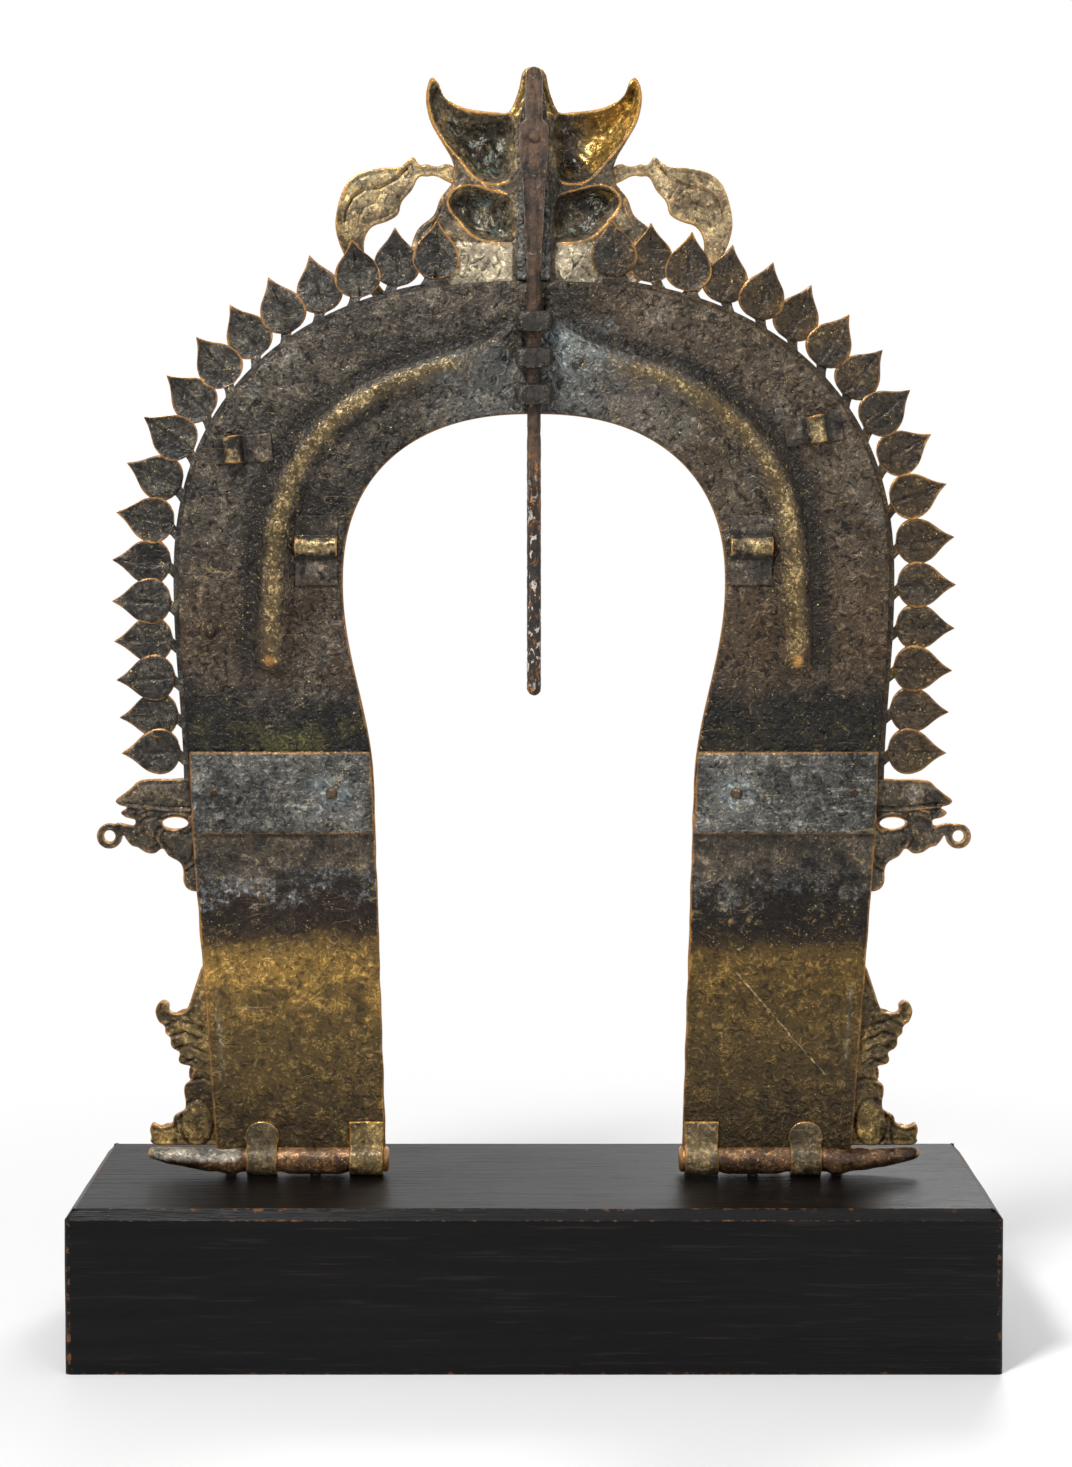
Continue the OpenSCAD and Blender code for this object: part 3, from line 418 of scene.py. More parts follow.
# %% Curves of the plate
BACK, FRONT, PLATE = -1.25, 1.25, 2.5
OPENING, EDGE = (90, 80), (167.5, 142.5)  # half width and rise over the spring line
ROUNDNESS = 2.34  # exponent of both curves
CROWN_FOOT, LEG_HEAD = 172.5, 192.5  # ends of the half lap
QUARTER_RUN = 194  # mm along one side of the arch, from its top to the spring line


def spot(x, y, h):
    """A place in the room, in metres: x to the right, y towards the front, h above the block's top."""
    return Vector((x, y, h + BLOCK_TOP)) / 1000


def measured(co):
    """The same place read back in millimetres."""
    return co.x * 1000, co.y * 1000, co.z * 1000 - BLOCK_TOP


def ease(q):
    """0 up to 0, 1 from 1 on, and a smooth rise between."""
    return (1 - math.cos(math.pi * min(max(q, 0.0), 1.0))) / 2


def ray(a, half_w, rise):
    """Distance from the middle of the spring line to a curve, at angle a."""
    x, h = abs(math.cos(a)) / half_w, abs(math.sin(a)) / rise
    return (x ** ROUNDNESS + h ** ROUNDNESS) ** (-1 / ROUNDNESS)


def arch_point(a, s):
    """The point of the arch at angle a, at share s of the band: 0 at the opening, 1 at the outer edge."""
    r = (1 - s) * ray(a, *OPENING) + s * ray(a, *EDGE)
    return r * math.cos(a), SPRING + r * math.sin(a)


def half_width(h, at_foot, at_splice, at_spring):
    """Half a width below the spring line: straight up the leg, then eased out."""
    if h > SPLICE:
        return at_splice + (at_spring - at_splice) * ease((h - SPLICE) / (SPRING - SPLICE))
    return at_foot + (at_splice - at_foot) * h / SPLICE


def inner_half(h):
    """Half the width of the opening."""
    return half_width(h, 70, 75.5, OPENING[0])


def outer_half(h):
    """Half the width over the plate's outer edges."""
    return half_width(h, 150, 163, EDGE[0])


def band_point(along, s, low=CROWN_FOOT):
    """Along runs from -1 at the left end over 0 at the top to 1 at the right end."""
    share = QUARTER_RUN / (QUARTER_RUN + SPRING - low)
    side, q = (-1 if along < 0 else 1), abs(along)
    if q < share:
        x, h = arch_point(math.radians(90 * (1 - q / share)), s)
        return side * x, h
    h = SPRING - (q - share) / (1 - share) * (SPRING - low)
    return side * (inner_half(h) + s * (outer_half(h) - inner_half(h))), h


print("plate:", 2 * EDGE[0], "mm wide at the spring line, opening", 2 * OPENING[0], "mm")

# %% [markdown]
# ## From flat grid to beaten plate
#
# A plate could be a box with its faces cut, but then it has no points to beat. A grid laid over the band
# has them everywhere: its corners are moved to the curves, the ridge and the hammer marks push its points
# in and out, and one extrusion gives it its thickness. Bevels then break the sharp arrises.


# %% Helpers for sheet work
def unit_grid(bm, across, along):
    """A grid from (0, 0) to (1, 1), in cells."""
    points = bmesh.ops.create_grid(bm, x_segments=across, y_segments=along, size=0.5)["verts"]
    bmesh.ops.translate(bm, verts=points, vec=(0.5, 0.5, 0.0))
    return points


def new_faces(bm, before):
    """The faces that were not there before."""
    return [f for f in bm.faces if f not in before]


def hammer(x, h, size_mm, depth_mm, seed=0.0):
    """Unevenness from beating, in mm."""
    return depth_mm * noise.noise(Vector((x / size_mm, h / size_mm, seed)))


def thicken(bm, faces, front_of):
    """Extrudes a sheet; front_of gives the y in mm of each point's twin on the other face."""
    made = bmesh.ops.extrude_face_region(bm, geom=faces)["geom"]
    for twin in (g for g in made if isinstance(g, bmesh.types.BMVert)):
        twin.co.y = front_of(*measured(twin.co)) / 1000
    bmesh.ops.recalc_face_normals(bm, faces=bm.faces)


def soften(bm, width_mm, crisp=0.9, segments=2):
    """Rounds every edge that is sharper than crisp, in radians."""
    edges = [e for e in bm.edges if e.is_manifold and e.calc_face_angle(0) > crisp]
    bmesh.ops.bevel(bm, geom=edges, offset=width_mm / 1000, offset_type="OFFSET", segments=segments,
                    profile=0.5, affect="EDGES", clamp_overlap=True, material=-1)


# %% Helpers for wear and for setting a piece in place
def layer_of(bm, measure):
    """The layer of a mesh's points that carries a measure, made if it isn't there yet."""
    return bm.verts.layers.float.get(measure) or bm.verts.layers.float.new(measure)


def nearest_tree(points):
    """A tree that finds the nearest of some points."""
    tree = KDTree(len(points))
    for i, point in enumerate(points):
        tree.insert(point, i)
    tree.balance()
    return tree


def mark_rims(bm, reach_mm, crisp):
    """Writes the attribute rim: 1 on outer edges, fading over reach_mm; what is marked already stays."""
    layer = layer_of(bm, "rim")
    sharp = [e for e in bm.edges if e.is_manifold and e.calc_face_angle_signed(0) > crisp]
    if not sharp:
        return
    tree = nearest_tree([v.co for v in {v for e in sharp for v in e.verts}])
    for v in bm.verts:
        v[layer] = max(v[layer], math.exp(-1000 * tree.find(v.co)[2] / reach_mm))


def mark(bm, name, measure):
    """Writes an attribute from a measure of each point's place in mm."""
    layer = layer_of(bm, name)
    for v in bm.verts:
        v[layer] = measure(*measured(v.co))


def set_in_place(bm, name, finish, body, nodes=(), slot="brass_dark", reach_mm=0.7, crisp=0.4):
    """Makes the finished object: rims marked, shaded smooth, riding on its body in place of the solids."""
    if crisp:
        mark_rims(bm, reach_mm, crisp)
    for face in bm.faces:
        face.smooth = True
    mesh = bpy.data.meshes.new(name)
    bm.to_mesh(mesh)
    bm.free()
    mesh.set_sharp_from_angle(angle=math.radians(60))
    mesh.materials.append(finish)
    piece = bpy.data.objects.new(name, mesh)
    bpy.context.scene.collection.objects.link(piece)
    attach(piece, body)
    if nodes:
        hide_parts(*nodes)
    print(f"{name}: {len(mesh.polygons)} faces on {body}")
    return piece


# %% [markdown]
# ## The crown
#
# The crown is one horseshoe of plate, with a ridge beaten up from the front on each side. The ridges start
# in a cusp beside the collars, follow the arch and die away above the splice. A ridge could be a tube laid
# on the plate, but it is the plate itself, so it is a smooth rise of the grid's points.


# %% Where the ridge runs
def band_share(x, h):
    """Where a point lies across the band: 0 at the opening, 1 at the outer edge."""
    if h <= SPRING:
        return (abs(x) - inner_half(h)) / (outer_half(h) - inner_half(h))
    a = math.atan2(h - SPRING, abs(x))
    near, far = ray(a, *OPENING), ray(a, *EDGE)
    return (math.hypot(x, h - SPRING) - near) / (far - near)


def off_ridge(x, h):
    """Distance from the ridge's crest, in half widths of the ridge, positive towards the outer edge."""
    middle = 0.425 + 0.05 * ease((SPRING - h) / 38) + 0.26 * math.exp(-(abs(x) / 21) ** 1.6)
    return (band_share(x, h) - middle) / 0.11


def ridge_fade(x, h):
    """The ridge dies away above the splice and beside the collars."""
    return ease((h - 236) / 9) * ease((abs(x) - 4) / 14)


def ridge_share(x, h):
    """How far up the ridge a point is, from 0 beside it to 1 on its crest."""
    q = off_ridge(x, h)
    q = q / 0.95 if q > 0 else q / (1.2 + 2.6 * math.exp(-(x / 38) ** 2))
    return (1 - q * q) ** 1.25 * ridge_fade(x, h) if abs(q) < 1 else 0.0


# %% How the crown is beaten, worn and given painted shade
BAND_WIDTH = 77  # mm at the spring line, about
RIDGE_RISE = 5.2  # mm
LAP_GAP = 0.03  # mm left on each side of the lap


def ridge_foot_shade(x, y, h):
    """Painted shade along the foot of the ridge, most on its outer side."""
    q = off_ridge(x, h)
    outer = 1.15 * math.exp(-((q - 1.05) / (0.45 if q < 1.05 else 0.9)) ** 2)
    inner = 0.45 * math.exp(-((q + 1.15) / 0.35) ** 2) * (1 - math.exp(-(x / 50) ** 2))
    return ridge_fade(x, h) * (outer + inner)


def plate_back(x, h):
    """The y of the plate's back in mm: flat, beaten here and there, raised along the ridge."""
    calm = ease((h - 205) / 25) if h > 150 else ease((160 - h) / 15) * ease((h - 28) / 12)
    beat = hammer(x, h, 42, 0.55) + hammer(x, h, 13, 0.22, 5.0)
    return BACK + calm * beat - RIDGE_RISE * ridge_share(x, h)


def behind(x, y, h):
    """1 on the plate's back, 0 on its front."""
    return float(y < plate_back(x, h) + 1)


def crown_rim(x, y, h):
    """Worn bright along the opening, less along the outer edge, and on the ridge's lower end."""
    from_opening = BAND_WIDTH * band_share(x, h)
    end = 0.85 * math.exp(-(math.hypot(abs(x) - 124, h - 245) / 4.6) ** 2) * behind(x, y, h)
    inner = 1.1 * math.exp(-max(from_opening, 0) / 0.9)
    outer = 0.6 * math.exp(-max(BAND_WIDTH - from_opening, 0) / 0.9)
    return max(inner, outer, end)


def ridge_rub_and_highlight(x, y, h):
    """The ridge's crest is polished, and a painted highlight runs along it, away from the collars."""
    return 0.88 * ridge_share(x, h) ** 1.6 * ease((abs(x) - 10) / 40) * behind(x, y, h)


# %% The crown's sheet
crown = bmesh.new()
for v in unit_grid(crown, 54, 420):
    x, h = band_point(2 * v.co.y - 1, v.co.x)
    v.co = spot(x, plate_back(x, h), h)
thicken(crown, crown.faces[:], lambda x, y, h: y + PLATE if h > LEG_HEAD + 0.1 else -LAP_GAP)
soften(crown, 0.5)
# a polished crest with a painted highlight along it, carried in the rub measure
mark(crown, "rub", ridge_rub_and_highlight)
mark(crown, "rim", crown_rim)
# painted shade along the ridge's foot, carried in the deep measure
mark(crown, "deep", ridge_foot_shade)
mark(crown, "back", behind)
set_in_place(crown, "crown_plate", crown_finish, "arch", ["crown"], crisp=None)

# %% [markdown]
# ## Legs and splice plates
#
# Each leg is a tapering plate, half lapped to the crown, and a thin patch riveted over the joint hides the
# lap from behind. All of them are the same kind of sheet as the crown, so one helper cuts them.


# %% Legs and the patches over the joint
def side_sheet(side, low, top, margin, across, along, back_of, front_of):
    """A sheet between the opening and the outer edge, on one side, from height low to top."""
    bm = bmesh.new()
    for v in unit_grid(bm, across, along):
        h = low + (top - low) * v.co.y
        near, far = inner_half(h) + margin, outer_half(h) - margin
        x = near + (far - near) * v.co.x
        x += 0.35 * noise.noise(Vector((h / 11, side * 7.0, v.co.x * 3)))
        v.co = spot(side * x, back_of(side * x, h), h)
    thicken(bm, bm.faces[:], front_of)
    soften(bm, 0.5)
    return bm


LEG_FOOT, SPLICE_LOW, SPLICE_TOP = 11.6, 163.0, 202.0
SIDES = ((-1, "left"), (1, "right"))


def leg_back(x, h):
    """The leg's back, thinned to half where it laps the crown."""
    return plate_back(x, h) if h < CROWN_FOOT - 0.1 else LAP_GAP


def leg_front(x, y, h):
    """The leg's front, never behind the plate's own."""
    return max(y + PLATE, FRONT) if h < CROWN_FOOT - 0.1 else FRONT


def pale_line(x, y, h):
    """A pale line runs down the leg, a little in from its outer edge."""
    off = outer_half(h) - abs(x) - 6
    return 0.6 * math.exp(-(off / 2.2) ** 2) * ease((104 - h) / 20) * ease((h - 34) / 12)


def splice_back(x, h):
    """The patch's back, uneven above its lower edge and not the same on both sides."""
    beat = hammer(x + math.copysign(4.0, x), h, 30, 0.35, 9.0)
    return BACK - 1.75 + beat * ease((h - SPLICE_LOW) / 6)


for side, word in SIDES:
    leg = side_sheet(side, LEG_FOOT, LEG_HEAD - 0.1, 0.0, 54, 120, leg_back, leg_front)
    mark(leg, "pale", pale_line)
    mark(leg, "back", behind)
    set_in_place(leg, f"leg_plate_{word}", leg_finish, "arch", [f"leg_{word}"], reach_mm=1.1)
    splice = side_sheet(side, SPLICE_LOW, SPLICE_TOP, 0.8, 60, 26, splice_back, lambda x, y, h: BACK + 0.02)
    set_in_place(splice, f"splice_patch_{word}", splice_finish, "arch", [f"splice_plate_{word}"], reach_mm=1.0)

# %% [markdown]
# ## Rivets
#
# A rivet is turned work: a profile of head, shank and far head, spun once round its axis. Spinning needs
# only the few points of half the outline, and the merge closes its seam.


# %% Spun work
def spin_up(bm, profile, origin, axis, steps=24):
    """Spins points (distance along the axis, radius), in mm, round an axis through origin."""
    axis = Vector(axis)
    across = axis.orthogonal().normalized()
    points = [bm.verts.new(origin + (axis * a + across * r) / 1000) for a, r in profile]
    edges = [bm.edges.new(pair) for pair in zip(points, points[1:])]
    bmesh.ops.spin(bm, geom=points + edges, cent=origin, axis=axis, angle=2 * math.pi, steps=steps,
                   use_merge=True)
    bmesh.ops.remove_doubles(bm, verts=bm.verts, dist=2e-6)
    bmesh.ops.recalc_face_normals(bm, faces=bm.faces)


def rivet_profile(length, head_r=2.9, head_t=1.7, shank_r=1.75):
    """Both heads and the shank, as half an outline from one pole to the other."""
    quarter = [i * math.pi / 12 for i in range(7)]
    cap = [(head_t * math.sin(a), head_r * math.cos(a)) for a in quarter]
    near = [(-a, max(r, 0.0)) for a, r in reversed(cap)]
    far = [(length + a, max(r, 0.0)) for a, r in cap]
    return near + [(0.0, shank_r), (length, shank_r)] + far


rivet_finish = old_brass("rivet_brass", "#2b241d", "#4a3f31", "#7d6a4a", cool_share=0.1, worn=0.3,
                         relief_mm=0.5)
for side, word in SIDES:
    rivets = bmesh.new()
    for x, head_r, head_t in ((RIVET_X, 2.9, 1.7), (151.0, 2.1, 0.5)):
        head = spot(side * x, BACK - 1.8, SPLICE)
        spin_up(rivets, rivet_profile(4.3, head_r, head_t), head, (0, 1, 0))
    mark(rivets, "rub", lambda x, y, h: 0.3)
    set_in_place(rivets, f"splice_rivets_{word}_turned", rivet_finish, "arch",
                 [f"splice_rivets_{word}"], "brass_worn")
stud = bmesh.new()
spin_up(stud, rivet_profile(2.5), spot(-152.5, BACK, 259), (0, 1, 0))
set_in_place(stud, "crown_stud_turned", rivet_finish, "arch", ["crown_stud"], "brass_worn")

# %% [markdown]
# ## The leaf border
#
# Seventeen pipal leaves a side are cast on a pierced strip that laps the front of the plate. A leaf could
# be a flat cut-out, but the real ones are dished, with a raised rim and a vein. Here each leaf is a small
# grid pulled to the leaf's width at every share of its length; its ends close to points.

# %% The outer edge by its length
edge_walk = [arch_point(math.radians(90 - 2 * i), 1) for i in range(46)]
edge_walk += [(outer_half(h), h) for h in np.linspace(SPRING, SPLICE, 13)[1:]]
edge_walk = np.array(edge_walk)
edge_run = np.concatenate([[0], np.cumsum(np.linalg.norm(np.diff(edge_walk, axis=0), axis=1))])


def edge_at(run):
    """The point of the outer edge, run mm from the centre line."""
    return np.array([np.interp(run, edge_run, edge_walk[:, 0]), np.interp(run, edge_run, edge_walk[:, 1])])


def edge_frame(run):
    """A point of the edge, the way along it and the way out of it."""
    along = edge_at(run + 2) - edge_at(run - 2)
    along /= np.linalg.norm(along)
    return edge_at(run), along, np.array([-along[1], along[0]])


print("edge from the centre line to the splice:", round(float(edge_run[-1]), 1), "mm")

# %% A leaf and its stem
LEAF_LONG, LEAF_OFF = 28, 3.8  # a leaf's length, and how far off the edge it starts


def leaf_half(q):
    """Half the leaf's width: round shoulders, then a drawn-out tip."""
    return 10.9 * max(math.sin(math.pi * q ** 0.64), 0.0) ** 0.86 * (1 - 0.42 * ease((q - 0.55) / 0.42))


def cast_leaf(bm, side, run, seed, layer):
    """One leaf: dished towards the front, its rim rounded and bright, its veins cut in."""
    rim, deep, rub = (layer_of(bm, measure) for measure in ("rim", "deep", "rub"))
    point, _, out = edge_frame(run)
    base = point + LEAF_OFF * out
    lean = 11 * ease((point[1] - SPRING) / 60) + 2.2 * noise.noise(Vector((seed, 1, 0)))
    turn = math.atan2(out[1], out[0]) + math.radians(lean)
    up, right = np.array([math.cos(turn), math.sin(turn)]), np.array([math.sin(turn), -math.cos(turn)])
    tilt = 0.05 * noise.noise(Vector((seed, 7, 3)))
    before = set(bm.faces)
    for v in unit_grid(bm, 24, 26):
        u, q = 2 * v.co.x - 1, v.co.y
        u = math.copysign(abs(u) ** 0.8, u)
        half = leaf_half(q)
        x, h = base + LEAF_LONG * q * up + u * half * right
        dish = 0.9 * (1 - abs(u) ** 2.5) * math.sin(math.pi * min(q * 1.05, 1)) + tilt * u * half
        off = u + 0.06 * math.sin(5 * q + seed)
        vein = math.exp(-(off / 0.07) ** 2) * ease((0.92 - q) / 0.2)
        comb = max(0.0, math.cos(20 * (q - 0.42 * abs(off)) + seed)) ** 10
        side_vein = comb * (1 - abs(u)) * ease(abs(u) / 0.2)
        from_edge = min((1 - abs(u)) * half, 14 * (1 - q))
        v[rim] = math.exp(-from_edge / 1.5)
        v[deep] = 1.1 * vein + 0.8 * side_vein
        v[rub] = 0.5 * math.exp(-((abs(off) - 0.15) / 0.05) ** 2) * ease((0.9 - q) / 0.2)
        relief = 0.8 * vein + 0.5 * side_vein + 0.5 * math.exp(-from_edge / 0.35)
        v.co = spot(side * x, FRONT + layer + dish + relief, h)
    thicken(bm, new_faces(bm, before), lambda x, y, h: y + 2.0)


def cast_stem(bm, side, run):
    """The short neck between a leaf and the strip, a little farther down the arch."""
    point, along, out = edge_frame(run)
    foot, foot_along, _ = edge_frame(run + 8)
    top = point + (LEAF_OFF + 3.4) * out
    top_start, top_end = top - 4.5 * along, top + 4 * along
    foot_start, foot_end = foot - 5.5 * foot_along, foot + 3 * foot_along
    before = set(bm.faces)
    for v in unit_grid(bm, 4, 5):
        u, q = v.co.x, v.co.y
        low = foot_start + (foot_end - foot_start) * u
        high = top_start + (top_end - top_start) * u
        middle = ((foot_start + foot_end) * (1 - q) + (top_start + top_end) * q) / 2
        pinch = 1 - 0.28 * math.sin(math.pi * q)
        x, h = middle + (low + (high - low) * q - middle) * pinch
        v.co = spot(side * x, FRONT + 0.1 + 1.5 * q, h)
    thicken(bm, new_faces(bm, before), lambda x, y, h: y + 1.9)


# %% Both borders: a pierced strip with its leaves
LEAVES = 17
leaf_end = edge_run[-1] - 20
for side, word, first, crowding in ((-1, "left", 46.0, 0.0), (1, "right", 38.0, 0.1)):
    strip, leaves = bmesh.new(), bmesh.new()
    for v in unit_grid(strip, 6, 220):
        point, _, out = edge_frame(first - 6 + (leaf_end + 20 - first) * v.co.y)
        x, h = point + (-4.5 + 7.1 * v.co.x) * out
        v.co = spot(side * x, FRONT + 0.02, h)
    thicken(strip, strip.faces[:], lambda x, y, h: FRONT + 2.1)
    for i in range(LEAVES):
        q = i / (LEAVES - 1)
        run = first + (leaf_end - first) * q * (1 - crowding * (1 - q))
        cast_stem(strip, side, run)
        cast_leaf(leaves, side, run, 10 * side + i * 1.7, 0.5 * (i % 2))
    bmesh.ops.remove_doubles(leaves, verts=leaves.verts, dist=2e-5)
    bmesh.ops.recalc_face_normals(leaves, faces=leaves.faces)
    set_in_place(leaves, f"leaf_border_{word}_cast", leaf_finish, "arch", [f"leaf_border_{word}"], crisp=None)
    set_in_place(strip, f"leaf_strip_{word}", leaf_finish, "arch", crisp=None)

# %% [markdown]
# ## Castings: makaras, lions and side scrolls
#
# These are lost-wax castings: soft outlines, no sharp edge anywhere, hollow at the back. Their outlines are
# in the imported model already. A copy of the node is merged, skinned with even small squares by a voxel
# remesh, and then treated like wax: rounded, dished at the back, swelled and lined at the front.


# %% Wax work on a copy of a solid
def wax_copy(node):
    """A merged copy of a node's mesh."""
    bm = bmesh.new()
    bm.from_mesh(frame["nodes"][node].data)
    bmesh.ops.remove_doubles(bm, verts=bm.verts, dist=1e-6)
    return bm


def skin(bm, square_mm, rounds):
    """Covers a closed shape with even squares and rounds it off."""
    mesh = bpy.data.meshes.new("wax")
    bm.to_mesh(mesh)
    wax = bpy.data.objects.new("wax", mesh)
    bpy.context.scene.collection.objects.link(wax)
    remesh = wax.modifiers.new("squares", "REMESH")
    remesh.mode, remesh.voxel_size = "VOXEL", square_mm / 1000
    even = bpy.data.meshes.new_from_object(wax.evaluated_get(bpy.context.evaluated_depsgraph_get()))
    bpy.data.objects.remove(wax)
    bm.clear()
    bm.from_mesh(even)
    for _ in range(rounds):
        bmesh.ops.smooth_vert(bm, verts=bm.verts, factor=0.5,
                              use_axis_x=True, use_axis_y=True, use_axis_z=True)
    bm.normal_update()


def rim_distance(bm):
    """For each point, the distance in mm to the nearest side wall."""
    walls = [v for v in bm.verts if abs(v.normal.y) < 0.5]
    tree = nearest_tree([(v.co.x, 0.0, v.co.z) for v in walls])
    return [1000 * tree.find((v.co.x, 0.0, v.co.z))[2] for v in bm.verts]


def model_wax(bm, hollow_mm, swell_mm, relief):
    """Dishes the back, swells the front, and adds the beast's own cuts, lumps and raised bright lines."""
    rim, deep, rub = (layer_of(bm, measure) for measure in ("rim", "deep", "rub"))
    for v, d in zip(list(bm.verts), rim_distance(bm)):
        x, y, h = measured(v.co)
        cut, lump, line = relief(abs(x), h)
        inner = 0.5 * math.exp(-((d - 2.2) / 0.8) ** 2)
        lift = lump + 0.5 * line - cut - inner + hammer(x, h, 6, 0.35, 2.0)
        if v.normal.y < -0.3:
            v.co.y += (hollow_mm * (1 - math.exp(-d / 2.2)) - lift) / 1000
        elif v.normal.y > 0.3:
            v.co.y += (swell_mm * (1 - math.exp(-d / 3.0)) + lift) / 1000
        v[rim] = max(math.exp(-d / 1.4), 0.68 * line)
        v[deep] = 0.9 * cut + 0.6 * inner
        v[rub] = min(0.3 * max(lump, 0.0), 0.4)
    bm.normal_update()


# %% Lines drawn on the wax
def drawn(*rows):
    """Lines, each a row of points, as the two ends of all their short strokes."""
    return np.array([(a, b) for row in rows for a, b in zip(row, row[1:])], float)


def from_lines(x, h, ends):
    """Distance in mm from the nearest of some drawn lines."""
    at = np.array([x, h])
    way = ends[:, 1] - ends[:, 0]
    share = np.clip(((at - ends[:, 0]) * way).sum(1) / (way ** 2).sum(1), 0, 1)
    return float(np.linalg.norm(at - ends[:, 0] - share[:, None] * way, axis=1).min())


def groove(off, width_mm, depth_mm):
    """How deep a groove is, off mm from its middle."""
    return depth_mm * math.exp(-(off / width_mm) ** 2)


def ring(x, h, half_x, half_h):
    """A closed oval line round (x, h)."""
    return [(x + half_x * math.cos(a), h + half_h * math.sin(a)) for a in np.linspace(0, 2 * math.pi, 19)]


makara_lines = drawn(
    [(-6, -8.6), (10, -8.8), (20, -7.8), (30, -7)], [(20, -8.4), (24, -9.6), (25, -12.6)],
    ring(7, -14.8, 8.2, 4.8)[2:13], [(26, -14.6), (22, -11.4), (18, -10.4)],
    [(13, -26.8), (15.4, -22), (13.6, -18.4)], [(3.3, -37), (-1, -34), (-4, -27)],
)
lion_lines = drawn(
    [(24.6, 57), (18, 60), (12, 58)], [(22, 51.8), (15, 54.5), (9, 51)], [(20, 46), (13, 48.5), (7, 45)],
    [(16.2, 38.8), (10, 42), (5, 39)], [(11.4, 31.2), (6, 32), (0, 30)], ring(9.5, 10.5, 7.8, 11.5),
    [(20.2, 14.2), (19, 6), (20, 0)],
)
scroll_vein = [
    (-20.5, 15.1), (-15.8, 10.4), (-11.4, 7.9), (-7.1, 5.7), (0.2, 4.9), (5.3, 1.3), (8.5, -4.5), (9.3, -9.9),
]
scroll_lines = drawn(
    scroll_vein, [(-7.1, 3.1), (-4.9, -0.9), (0.2, -3), (2.3, -7.4), (3.4, -12.9)],
    [(-12.9, 6.8), (-16.2, 1.3)],
)
print("strokes drawn:", len(makara_lines), "makara,", len(lion_lines), "lion,", len(scroll_lines), "scroll")


# %% The relief of each casting
def makara_relief(x, h):
    """Two petals, the ring of the mouth, the lobes of the body, each behind a raised line; a round cheek."""
    dx, dh = x - 163, h - SPLICE
    off = from_lines(dx, dh, makara_lines)
    cheek = 1.5 * math.exp(-((dx - 19) / 4.5) ** 2 - ((dh + 20) / 5) ** 2)
    brow = 0.9 * math.exp(-((dx - 14) / 12) ** 2 - ((dh + 1.5) / 3.5) ** 2)
    return groove(off - 1.5, 0.7, 0.8), cheek + brow, groove(off, 0.6, 1.0)


def lion_relief(x, h):
    """Locks of the mane run in from the scallops, and the haunch stands out below."""
    dx, dh = x - 151, h - 13.6
    off = from_lines(dx, dh, lion_lines)
    haunch = 1.9 * max(0.0, 1 - ((dx - 9.5) / 7.8) ** 2 - ((dh - 10.5) / 11.5) ** 2) ** 0.6
    mane = 0.8 * max(0.0, math.sin((dh - 0.4 * dx) * 1.05)) * ease((dh - 34) / 4) * ease((62 - dh) / 4)
    return groove(off, 0.8, 0.8), haunch + mane, 0.6 * groove(off - 1.2, 0.5, 1.0)


def scroll_relief(x, h):
    """A band along the outer edge stands out behind a vein, and two lobes lie inside it."""
    dx, dh = x - 80, h - CROWN_TOP - 38
    off = from_lines(dx, dh, scroll_lines)
    above_vein = dh - np.interp(dx, *np.transpose(scroll_vein))
    band = ease((above_vein - 0.5) / 1.5) * ease((dx + 22) / 4) * ease((dh + 10) / 9)
    return groove(off + 0.3, 0.9, 0.7) * (1 - band), 1.2 * band, 0.9 * groove(off - 0.9, 0.6, 1.0)


def knot_neck(bm):
    """Thins a scroll's neck between its knots, and spreads it at the root."""
    for v in bm.verts:
        x, y, h = measured(v.co)
        neck = ease((abs(x) - 36) / 3) * ease((56 - abs(x)) / 3)
        knots = math.exp(-((abs(x) - 42) / 2) ** 2) + math.exp(-((abs(x) - 50.5) / 2) ** 2)
        middle = CROWN_TOP + 48 + 3.6 * ease((abs(x) - 35) / 16)
        root = 0.5 * math.exp(-((abs(x) - 38.5) / 2.5) ** 2)
        v.co.z = spot(0, 0, middle + (h - middle) * (1 + root - neck * (0.12 - 0.3 * min(knots, 1)))).z


# %% All six castings
beast_finish = old_brass("beast_patina", "#302b24", "#564c3d", "#8a7245", cool_share=0.35, worn=0.45,
                         relief_mm=0.7)
lion_finish = old_brass("lion_patina", "#423522", "#6a5733", "#957a40", cool="#646151", cool_share=0.25,
                        worn=0.6, relief_mm=0.8, zones=lion_zones)
scroll_finish = old_brass("scroll_patina", "#4c3f2d", "#7d6d54", "#967a40", cool="#95896c", cool_share=0.55,
                          worn=0.8, edge="#bb8c4e", relief_mm=0.8, zones=scroll_zones)
for _, word in SIDES:
    for node, square, hollow, swell, relief, finish, body, slot in (
        (f"makara_{word}", 0.5, 0.6, 1.6, makara_relief, beast_finish, "arch", "brass_dark"),
        (f"lion_{word}", 0.55, 0.9, 0.8, lion_relief, lion_finish, "arch", "brass_gold"),
        (f"crest_scroll_{word}", 0.55, 0.7, 1.3, scroll_relief, scroll_finish, "crest", "brass_gold"),
    ):
        wax = wax_copy(node)
        skin(wax, square, 2)
        model_wax(wax, hollow, swell, relief)
        if relief is scroll_relief:
            knot_neck(wax)
        set_in_place(wax, f"{node}_cast", finish, body, [node], slot, crisp=None)

# %% [markdown]
# ## The crest
#
# The crest is a lion mask beaten from one sheet, seen here from its hollow side: a pair of horned eye
# hollows above, a pair of cheek hollows below, flat cheek plates at the foot. Spheres cut into a plate
# would give round bowls with hard lips. The real hollows follow their outlines, so the depth of each point
# grows with its distance from the hollow's border, and a small raised bead runs along that border.

